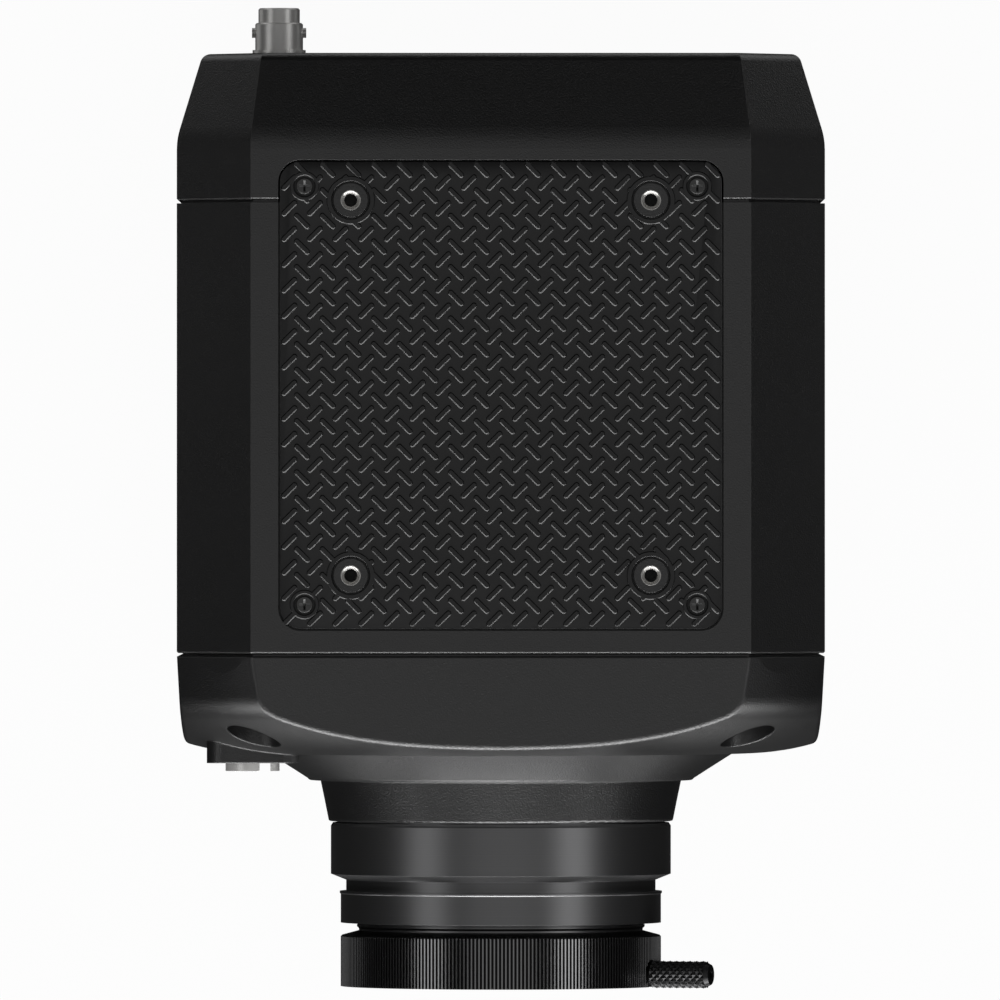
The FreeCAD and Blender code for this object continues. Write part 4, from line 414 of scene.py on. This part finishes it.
plate_screws = repeated(plate_screw(), screw_places, "plate_screws")
bpy.ops.object.shade_smooth_by_angle(angle=smooth_angle)
black_screw = painted("black_screw", (0.008, 0.008, 0.008), (0.018, 0.018, 0.017), 0.38, gloss=paint_gloss,
                      grains=6000.0, height=0.000004, edge=0.00005)
coat(plate_screws, black_screw)
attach(plate_screws, "camera")
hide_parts("top_plate_screws")
dress(black_screw, "front_cover_screws", "rear_cover_screws", "rear_panel_screws", "mount_base_screws",
      "mount_flange_screws", "dc_inlet_screws", "sensor_carrier_screws")

# Accessory bushes in the top and tripod bushes in the underside, with the posts between the boards.
# They are turned from steel and left bare. An accessory bush has a wide bright lead-in and a fine thread.
bush_low, bush_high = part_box("accessory_inserts")
bush_radius = 2.0 * MM
bush_bore = 1.3 * MM
bush_lead = 0.55 * MM
thread_depth = 0.2 * MM
thread_pitch = 0.5 * MM
mark_polish = 0.05


def metal(name, dark, light, roughness, marks, settings, metallic=1.0):
    """Bare or plated metal whose shade and polish follow the marks that a shader group gives."""
    material, tree, surface = new_material(name)
    finish = add(tree, "ShaderNodeGroup", settings, node_tree=marks)
    shade = add(tree, "ShaderNodeMix", {"Factor": finish.outputs["Mask"], 6: (*dark, 1), 7: (*light, 1)},
                data_type="RGBA")
    rough = add(tree, "ShaderNodeMapRange",
                {"Value": finish.outputs["Mask"], "To Min": roughness - mark_polish,
                 "To Max": roughness + mark_polish})
    tree.links.new(shade.outputs[2], surface.inputs["Base Color"])
    tree.links.new(rough.outputs["Result"], surface.inputs["Roughness"])
    tree.links.new(finish.outputs["Normal"], surface.inputs["Normal"])
    surface.inputs["Metallic"].default_value = metallic
    return material


def accessory_bush():
    """One bush on the Z axis: a turned sleeve whose bore is a row of thread grooves."""
    mouth = bush_high.z - bush_lead
    turns = int((mouth - bush_low.z) / thread_pitch)
    stations = [(bush_bore, bush_low.z), (bush_radius, bush_low.z), (bush_radius, bush_high.z),
                (bush_bore + bush_lead, bush_high.z), (bush_bore, mouth)]
    for turn in range(turns):
        groove = mouth - (turn + 0.5) * thread_pitch
        stations += [(bush_bore + thread_depth, groove), (bush_bore, groove - thread_pitch / 2)]
    return lathe("accessory_bush", stations, round_segments, hollow=True)


accessory_bushes = repeated(accessory_bush(), boss_places, "accessory_bushes")
bpy.ops.object.shade_smooth_by_angle(angle=smooth_angle)
bush_marks = {"Grains per metre": 6000.0, "Height": 0.000002, "Edge radius": 0.00003}
bush_steel = metal("bush_steel", (0.50, 0.49, 0.47), (0.62, 0.61, 0.59), 0.28, sand_grain, bush_marks,
                   metallic=0.7)
coat(accessory_bushes, bush_steel)
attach(accessory_bushes, "camera")
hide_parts("accessory_inserts")
dress(bush_steel, "tripod_bush_small", "tripod_bush_large", "filter_actuator", "lower_board_posts",
      "upper_board_posts", "rear_board_posts")

# Mount rings: two aluminium rings with a hub, screwed to the nose one on the other.
# They are turned, so fine grooves run round them, and then black anodised.
# The locking ring's retainer, the sensor carrier and the filter sector are finished in the same way.
ring_axis = 62.0 * MM


def turning_marks_group():
    """Turning marks: fine grooves round an axis along Y, as a normal and as a mask that follows them."""
    tree, given, result = new_group(
        "turning_marks",
        {"Axis X": 0.0, "Axis Z": 0.0, "Grooves per metre": 6000.0, "Height": 0.000002,
         "Edge radius": 0.00005},
        {"Normal": "NodeSocketVector", "Mask": "NodeSocketFloat", "Radius": "NodeSocketFloat"},
    )
    point = add(tree, "ShaderNodeTexCoord").outputs["Object"]
    place = add(tree, "ShaderNodeSeparateXYZ", {0: point}).outputs
    across = add(tree, "ShaderNodeMath", {0: place["X"], 1: given["Axis X"]}, operation="SUBTRACT")
    up = add(tree, "ShaderNodeMath", {0: place["Z"], 1: given["Axis Z"]}, operation="SUBTRACT")
    spoke = add(tree, "ShaderNodeCombineXYZ", {"X": across.outputs["Value"], "Y": up.outputs["Value"]})
    radius = add(tree, "ShaderNodeVectorMath", {0: spoke.outputs["Vector"]}, operation="LENGTH")
    station = add(tree, "ShaderNodeCombineXYZ", {"X": radius.outputs["Value"], "Y": place["Y"]})
    grooves = add(tree, "ShaderNodeTexNoise",
                  {"Vector": station.outputs["Vector"], "Scale": given["Grooves per metre"], "Detail": 1.0})
    edge = add(tree, "ShaderNodeBevel", {"Radius": given["Edge radius"]}, samples=6)
    bump = add(tree, "ShaderNodeBump", {"Height": grooves.outputs["Fac"], "Distance": given["Height"],
                                        "Normal": edge.outputs["Normal"]})
    tree.links.new(bump.outputs["Normal"], result["Normal"])
    tree.links.new(grooves.outputs["Fac"], result["Mask"])
    tree.links.new(radius.outputs["Value"], result["Radius"])
    return tree


turning_marks = turning_marks_group()
black_anodised = metal("black_anodised", (0.20, 0.20, 0.204), (0.27, 0.27, 0.274), 0.36, turning_marks,
                       {"Axis Z": ring_axis})
dress(black_anodised, "mount_base", "mount_flange", "lock_ring_retainer", "sensor_carrier", "filter_sector")

# Locking ring: aluminium with a straight knurl, black anodised, with a painted highlight on its teeth and
# painted shade between them.
# It turns on the flange's hub, and three lugs inside its front edge draw the lens home.
# A flat is milled where the lever screws in.
ring_low, ring_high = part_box("lock_ring")
ring_back = -ring_high.y
ring_front = -ring_low.y
ring_radius = 32.5 * MM
ring_bore = 28.85 * MM
ring_relief = 30.6 * MM
ring_land = 3.4 * MM
ring_slope = 0.9 * MM
lug_radius = 27.7 * MM
lug_length = 2.9 * MM
lug_angle = math.radians(58)
lug_count = 3
lug_reach = 0.05 * MM
knurl_teeth = 264
knurl_depth = 0.3 * MM
tooth_columns = 8
lever_low, lever_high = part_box("lock_lever")
lever_y = (lever_low.y + lever_high.y) / 2
lever_tilt = math.radians(20)
lever_radius = 2.8 * MM
lever_seat = 31.4 * MM
lever_room = 0.2 * MM
ring_smooth_angle = math.radians(25)
# The knurl's colour holds painted light: near black in the grooves as painted shade, lighter on the tooth
# tops as a painted highlight.
groove_shade_radius = ring_radius - knurl_depth * 0.4
tooth_highlight_radius = ring_radius - knurl_depth * 0.1
tooth_highlight_dark = (0.34, 0.34, 0.345)
tooth_highlight_light = (0.44, 0.44, 0.445)
tooth_top_roughness = 0.22
groove_painted_shade = (0.022, 0.022, 0.022)
groove_roughness = 0.36


def tooth_root(place):
    """Whether a point of the rim lies at the bottom between two teeth."""
    column = round(math.atan2(place.y, place.x) / math.tau * knurl_teeth * tooth_columns)
    return column % tooth_columns < tooth_columns / 2


def along_lever(piece):
    """Turns a piece that was made along Z to lie along the lever."""
    piece.rotation_euler.y = math.radians(90) - lever_tilt
    piece.location = (0, lever_y, ring_axis)
    return settle(piece)


def locking_ring():
    """The ring turned along Z and knurled, with its lugs, laid on the axis and milled for the lever."""
    root = ring_radius - knurl_depth
    knurl_start = ring_back + ring_slope
    stations = [
        (ring_bore, ring_back), (root, knurl_start), (ring_radius, knurl_start + knurl_depth),
        (ring_radius, ring_front), (ring_relief, ring_front), (ring_relief, ring_front - lug_length),
        (ring_relief, ring_back + ring_land), (ring_bore, ring_back + ring_land),
    ]
    piece = lathe("lock_ring_knurled", stations, knurl_teeth * tooth_columns, hollow=True)
    rim = ring_radius - knurl_depth / 4
    pick(piece, "VERT", lambda point: math.hypot(point.co.x, point.co.y) > rim and tooth_root(point.co))
    shrink = root / ring_radius
    bpy.ops.transform.resize(value=(shrink, shrink, 1), center_override=(0, 0, 0))
    leave_edit()

    def on_lug(face):
        middle = face.center
        inside = abs(math.hypot(middle.x, middle.y) - ring_relief) < lug_reach
        turn = (math.atan2(middle.y, middle.x) - lever_tilt + lug_angle / 2) % (math.tau / lug_count)
        return inside and middle.z > ring_front - lug_length and turn < lug_angle

    pick(piece, "FACE", on_lug)
    shrink = lug_radius / ring_relief
    bpy.ops.mesh.extrude_region_move()
    bpy.ops.transform.resize(value=(shrink, shrink, 1), center_override=(0, 0, 0))
    leave_edit()
    piece.rotation_euler.x = math.radians(90)
    piece.location.z = ring_axis
    settle(piece)
    flat = drill("lever_flat", [(0, 0)], lever_radius + lever_room, lever_seat, ring_radius + MM)
    cut(piece, along_lever(flat))
    return piece


lock_ring = locking_ring()
bpy.ops.object.shade_smooth_by_angle(angle=ring_smooth_angle)


def knurl_shade_and_highlight():
    """Black anodising with a painted highlight on the tops of the teeth and painted shade in the grooves
    between them.
    """
    material, tree, surface = new_material("knurl_shade_and_highlight")
    finish = add(tree, "ShaderNodeGroup", {"Axis Z": ring_axis, "Height": 0.0000005, "Edge radius": 0.0},
                 node_tree=turning_marks)
    # A mask by radius: painted shade at the bottom of the grooves, painted highlight on the tooth tops.
    shade_to_highlight = add(tree, "ShaderNodeMapRange",
                 {"Value": finish.outputs["Radius"], "From Min": groove_shade_radius, "From Max": tooth_highlight_radius})
    tooth_highlight = add(tree, "ShaderNodeMix",
               {"Factor": finish.outputs["Mask"], 6: (*tooth_highlight_dark, 1), 7: (*tooth_highlight_light, 1)}, data_type="RGBA")
    shade = add(tree, "ShaderNodeMix",
                {"Factor": shade_to_highlight.outputs["Result"], 6: (*groove_painted_shade, 1), 7: tooth_highlight.outputs[2]},
                data_type="RGBA")
    rough = add(tree, "ShaderNodeMapRange",
                {"Value": shade_to_highlight.outputs["Result"], "To Min": groove_roughness, "To Max": tooth_top_roughness})
    tree.links.new(shade.outputs[2], surface.inputs["Base Color"])
    tree.links.new(rough.outputs["Result"], surface.inputs["Roughness"])
    tree.links.new(finish.outputs["Normal"], surface.inputs["Normal"])
    surface.inputs["Metallic"].default_value = 1.0
    return material


coat(lock_ring, knurl_shade_and_highlight())
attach(lock_ring, "lock_ring")
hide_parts("lock_ring")

# Locking lever: a round handle that screws into the locking ring, with a key socket in its end.
# It is turned from aluminium with a conical foot, diamond knurled and black anodised.
lever_tip = 45.2 * MM
lever_foot = 2.2 * MM
lever_stud = 1.5 * MM
lever_stud_length = 2.8 * MM
lever_socket = 0.85 * MM
lever_socket_depth = 1.5 * MM
lever_end = 0.75 * MM
diamond_columns = 24
diamond_rows = 17
diamond_depth = 0.32 * MM
diamond_start = lever_seat + 1.5 * MM
diamond_end = lever_tip - 0.9 * MM
diamond_lead = 0.1 * MM
row_slack = 0.1
lever_smooth_angle = math.radians(20)


def locking_lever():
    """The handle turned along Z, with every second point of its rows sunk, then tipped into place."""
    step = (diamond_end - diamond_start) / (diamond_rows - 1)
    rows = [(lever_radius, diamond_start + step * k) for k in range(diamond_rows)]
    stations = [
        (lever_stud, lever_seat - lever_stud_length), (lever_stud, lever_seat), (lever_foot, lever_seat),
        (lever_radius - diamond_depth, diamond_start - diamond_lead), *rows,
        (lever_radius - diamond_depth, diamond_end + diamond_lead), (lever_radius - lever_end, lever_tip),
        (lever_socket, lever_tip), (lever_socket, lever_tip - lever_socket_depth),
    ]
    piece = lathe("lock_lever_knurled", stations, diamond_columns, hollow=False)

    def sunk(point):
        row = (point.co.z - diamond_start) / step
        on_rim = math.hypot(point.co.x, point.co.y) > lever_radius - same_place
        if not on_rim or not -row_slack < row < diamond_rows - 1 + row_slack:
            return False
        column = round(math.atan2(point.co.y, point.co.x) / math.tau * diamond_columns)
        return (column + round(row)) % 2 == 0

    pick(piece, "VERT", sunk)
    shrink = 1 - diamond_depth / lever_radius
    bpy.ops.transform.resize(value=(shrink, shrink, 1), center_override=(0, 0, 0))
    bpy.ops.mesh.select_all(action="SELECT")
    bpy.ops.mesh.quads_convert_to_tris(quad_method="SHORTEST_DIAGONAL")
    leave_edit()
    return along_lever(piece)


lock_lever = locking_lever()
bpy.ops.object.shade_smooth_by_angle(angle=lever_smooth_angle)
lever_anodised = metal("lever_anodised", (0.045, 0.045, 0.046), (0.07, 0.07, 0.071), 0.36, sand_grain,
                       bush_marks)
coat(lock_lever, lever_anodised)
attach(lock_lever, "lock_ring")
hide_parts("lock_lever")

# Video jack, lens connector, remote socket and power inlet: shells with moulded inserts, fixed in holes.
# Three shells are turned and nickel plated. The power inlet's is a black die casting held by screws.
# The contacts are gold plated.


def nickel(name, axis_x, axis_z):
    """Nickel plate with turning marks round one socket's own axis."""
    return metal(name, (0.88, 0.87, 0.85), (0.95, 0.94, 0.92), 0.36, turning_marks,
                 {"Axis X": axis_x, "Axis Z": axis_z}, metallic=0.6)


for shell, *others in (["video_jack_shell", "video_jack_nut"], ["lens_connector_shell"],
                       ["remote_socket_shell", "remote_socket_nut"]):
    shell_low, shell_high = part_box(shell)
    shell_middle = (shell_low + shell_high) / 2
    dress(nickel(f"nickel_{shell}", shell_middle.x, shell_middle.z), shell, *others)
contact_gold = metal("contact_gold", (0.70, 0.48, 0.18), (0.82, 0.60, 0.26), 0.3, sand_grain, bush_marks)
dress(contact_gold, "video_jack_contact", "dc_inlet_pins")
insulator = painted("insulator", (0.010, 0.010, 0.010), (0.020, 0.020, 0.020), 0.5, height=0.000005)
dress(insulator, "lens_connector_insert", "remote_socket_insert", "dc_inlet_insert", "key_switches",
      "power_switch_body")
white_insulator = painted("white_insulator", (0.70, 0.69, 0.66), (0.78, 0.77, 0.74), 0.45, height=0.000005)
dress(white_insulator, "video_jack_insulator")
inlet_shell = painted("inlet_shell", (0.012, 0.012, 0.012), (0.020, 0.020, 0.020), 0.4, height=0.000005)
dress(inlet_shell, "dc_inlet_shell")

# Rear panel, keys and power switch: an aluminium panel, painted black and screwed to the rear cover.
# The four keys and the sliding switch are moulded plastic and stand in holes of the panel.
panel_paint = painted("panel_paint", (0.007, 0.007, 0.0075), (0.012, 0.012, 0.0125), 0.5)
dress(panel_paint, "rear_panel")
key_plastic = painted("key_plastic", (0.030, 0.030, 0.031), (0.045, 0.045, 0.046), 0.42, height=0.000008)
dress(key_plastic, "key_menu", "key_set", "key_up", "key_down", "power_switch")

# Boards, chips and heat sink inside the housing: glass-fibre boards under green lacquer, on turned posts.
# The chips are moulded in black epoxy, the power parts have dark sleeves,
# and the heat sink and the sensor's heat spreader are bare aluminium.
board_lacquer = painted("board_lacquer", (0.010, 0.060, 0.028), (0.020, 0.100, 0.045), 0.4, height=0.000005)
dress(board_lacquer, "rear_board", "sensor_board", "processor_board", "power_board")
chip_epoxy = painted("chip_epoxy", (0.012, 0.012, 0.013), (0.022, 0.022, 0.022), 0.5, height=0.000008)
dress(chip_epoxy, "processor_chip", "memory_chips")
capacitor_sleeve = painted("capacitor_sleeve", (0.03, 0.035, 0.05), (0.05, 0.055, 0.075), 0.4,
                           height=0.000005)
dress(capacitor_sleeve, "power_parts")
bare_aluminium = metal("bare_aluminium", (0.55, 0.56, 0.57), (0.68, 0.69, 0.70), 0.4, sand_grain, {})
dress(bare_aluminium, "heat_sink", "sensor_heat_spreader")

# Sensor, its cover glass and the two filters that swing in front of it: a ceramic package under a glass lid.
# The filters are polished discs, one of clear glass and one of blue glass that holds back infrared light.
sensor_ceramic = painted("sensor_ceramic", (0.05, 0.05, 0.055), (0.08, 0.08, 0.085), 0.5, height=0.000005)
dress(sensor_ceramic, "image_sensor")


def optical_glass(name, colour, shift):
    """Polished glass with a faint coating that varies over the face."""
    material, tree, surface = new_material(name)
    place = add(tree, "ShaderNodeTexCoord").outputs["Object"]
    coating = add(tree, "ShaderNodeTexNoise", {"Vector": place, "Scale": 60.0, "Detail": 1.0})
    shade = add(tree, "ShaderNodeMix", {"Factor": coating.outputs["Fac"], 6: (*colour, 1), 7: (*shift, 1)},
                data_type="RGBA")
    tree.links.new(shade.outputs[2], surface.inputs["Base Color"])
    surface.inputs["Roughness"].default_value = 0.02
    surface.inputs["Transmission Weight"].default_value = 1.0
    surface.inputs["IOR"].default_value = 1.52
    return material


clear_glass = optical_glass("clear_glass", (0.95, 0.97, 0.96), (0.98, 0.96, 0.97))
dress(clear_glass, "clear_filter", "sensor_cover_glass")
blue_glass = optical_glass("blue_glass", (0.45, 0.72, 0.80), (0.52, 0.78, 0.82))
dress(blue_glass, "ir_cut_filter")

# White paper floor, which isn't part of the camera. The picture shows it white.
# The object sees it dim, as between black cloths, and keeps a faint shadow on it.
floor_size = 6.0
floor_drop = 0.2 * MM
seen_white = 0.96
mirrored_white = 0.005
paper_seen = (0.8, 0.8, 0.8)
paper_unseen = (0.006, 0.006, 0.006)
begin()
bpy.ops.mesh.primitive_plane_add(size=floor_size, location=(0, 0, -floor_drop))
floor = settle(newest("floor"))
floor_paper, tree, surface = new_material("floor_paper")
rays = add(tree, "ShaderNodeLightPath").outputs
tint = add(tree, "ShaderNodeMix",
           {"Factor": rays["Is Camera Ray"], 6: (*paper_unseen, 1), 7: (*paper_seen, 1)}, data_type="RGBA")
tree.links.new(tint.outputs[2], surface.inputs["Base Color"])
surface.inputs["Roughness"].default_value = 0.9
surface.inputs["Specular IOR Level"].default_value = 0.0
glow = add(tree, "ShaderNodeEmission", {"Color": (1, 1, 1, 1), "Strength": 1.0})
clear = add(tree, "ShaderNodeMath", {0: rays["Is Camera Ray"], 1: rays["Is Transmission Ray"]},
            operation="MAXIMUM")
white = add(tree, "ShaderNodeMath", {0: clear.outputs["Value"], 1: seen_white}, operation="MULTIPLY")
mirrored = add(tree, "ShaderNodeMath", {0: rays["Is Glossy Ray"], 1: mirrored_white}, operation="MULTIPLY")
share = add(tree, "ShaderNodeMath", {0: white.outputs["Value"], 1: mirrored.outputs["Value"]},
            operation="MAXIMUM")
mixed = add(tree, "ShaderNodeMixShader",
            {0: share.outputs["Value"], 1: surface.outputs["BSDF"], 2: glow.outputs["Emission"]})
tree.links.new(mixed.outputs["Shader"], tree.nodes["Material Output"].inputs["Surface"])
coat(floor, floor_paper)

# Studio lamps: a low, wide wall of light ahead of the object and a canopy above that wall.
# A dim panel hangs overhead, and a strip stands high at each side.
# Dim cards lie on the floor round the object, so that its lower sides don't go black.
aim_height = 0.06
card_height = 0.002


def soft_box(name, place, target, width, height, radiance):
    """A rectangular lamp that faces a point. Its brightness is the radiance of its face."""
    lamp = bpy.data.lights.new(name, "AREA")
    lamp.shape = "RECTANGLE"
    lamp.size = width
    lamp.size_y = height
    lamp.energy = radiance * math.pi * width * height
    item = bpy.data.objects.new(name, lamp)
    bpy.context.scene.collection.objects.link(item)
    item.location = place
    facing = mathutils.Vector(target) - mathutils.Vector(place)
    item.rotation_euler = facing.to_track_quat("-Z", "Y").to_euler()
    item.visible_camera = False


def on_arc(tilt, turn, distance):
    """A place at a tilt from straight up, turned from the front towards the right."""
    tilt = math.radians(tilt)
    turn = math.radians(turn)
    return (distance * math.sin(tilt) * math.sin(turn), -distance * math.sin(tilt) * math.cos(turn),
            aim_height + distance * math.cos(tilt))


middle = (0, 0, aim_height)
soft_box("front_wall", (0, -1.5, 0.36), middle, 4.0, 0.58, 7.0)
soft_box("front_canopy", on_arc(54, 0, 1.7), middle, 1.5, 0.75, 2.6)
soft_box("top_panel", (0, -0.08, 1.7), (0, -0.08, 0), 1.5, 1.3, 0.25)
for name, x, y, width, depth, radiance in (
    ("front_left_card", -0.075, -0.195, 0.09, 0.07, 1.3),
    ("front_right_card", 0.075, -0.195, 0.09, 0.07, 1.3),
    ("left_card", -0.21, 0.12, 0.2, 0.26, 0.3),
    ("right_card", 0.21, 0.12, 0.2, 0.26, 0.3),
    ("rear_card", 0.0, 0.45, 0.8, 0.5, 0.6),
):
    soft_box(name, (x, y, card_height), (x, y, 1), width, depth, radiance)
soft_box("left_strip", on_arc(51, -105, 1.8), middle, 1.7, 0.7, 0.78)
soft_box("right_strip", on_arc(49, 105, 1.8), middle, 1.7, 0.7, 1.08)

# Studio round the object: the picture shows it white past the floor's edge.
# The object itself sees it nearly dark, so that the lamps alone shape it.
studio_seen = 1.0
studio_unseen = 0.01
world = bpy.data.worlds.new("studio")
bpy.context.scene.world = world
world.use_nodes = True
tree = world.node_tree
tree.nodes.clear()
seen = add(tree, "ShaderNodeLightPath")
level = add(tree, "ShaderNodeMapRange",
            {"Value": seen.outputs["Is Camera Ray"], "To Min": studio_unseen, "To Max": studio_seen})
sky = add(tree, "ShaderNodeBackground", {"Color": (1, 1, 1, 1), "Strength": level.outputs["Result"]})
add(tree, "ShaderNodeOutputWorld", {"Surface": sky.outputs["Background"]})

# Picture camera: it looks straight down from far above through a long lens, as the photograph was taken.
# The small shift sideways puts the object where the photograph has it.
camera = bpy.data.cameras.new("camera_above")
camera.lens = 702.0
camera.sensor_width = 36.0
camera.clip_end = 20.0
view = bpy.data.objects.new("camera_above", camera)
bpy.context.scene.collection.objects.link(view)
view.location = (-0.00017, 0.0001, 4.02)
bpy.context.scene.camera = view
bpy.context.scene.view_settings.view_transform = "Standard"
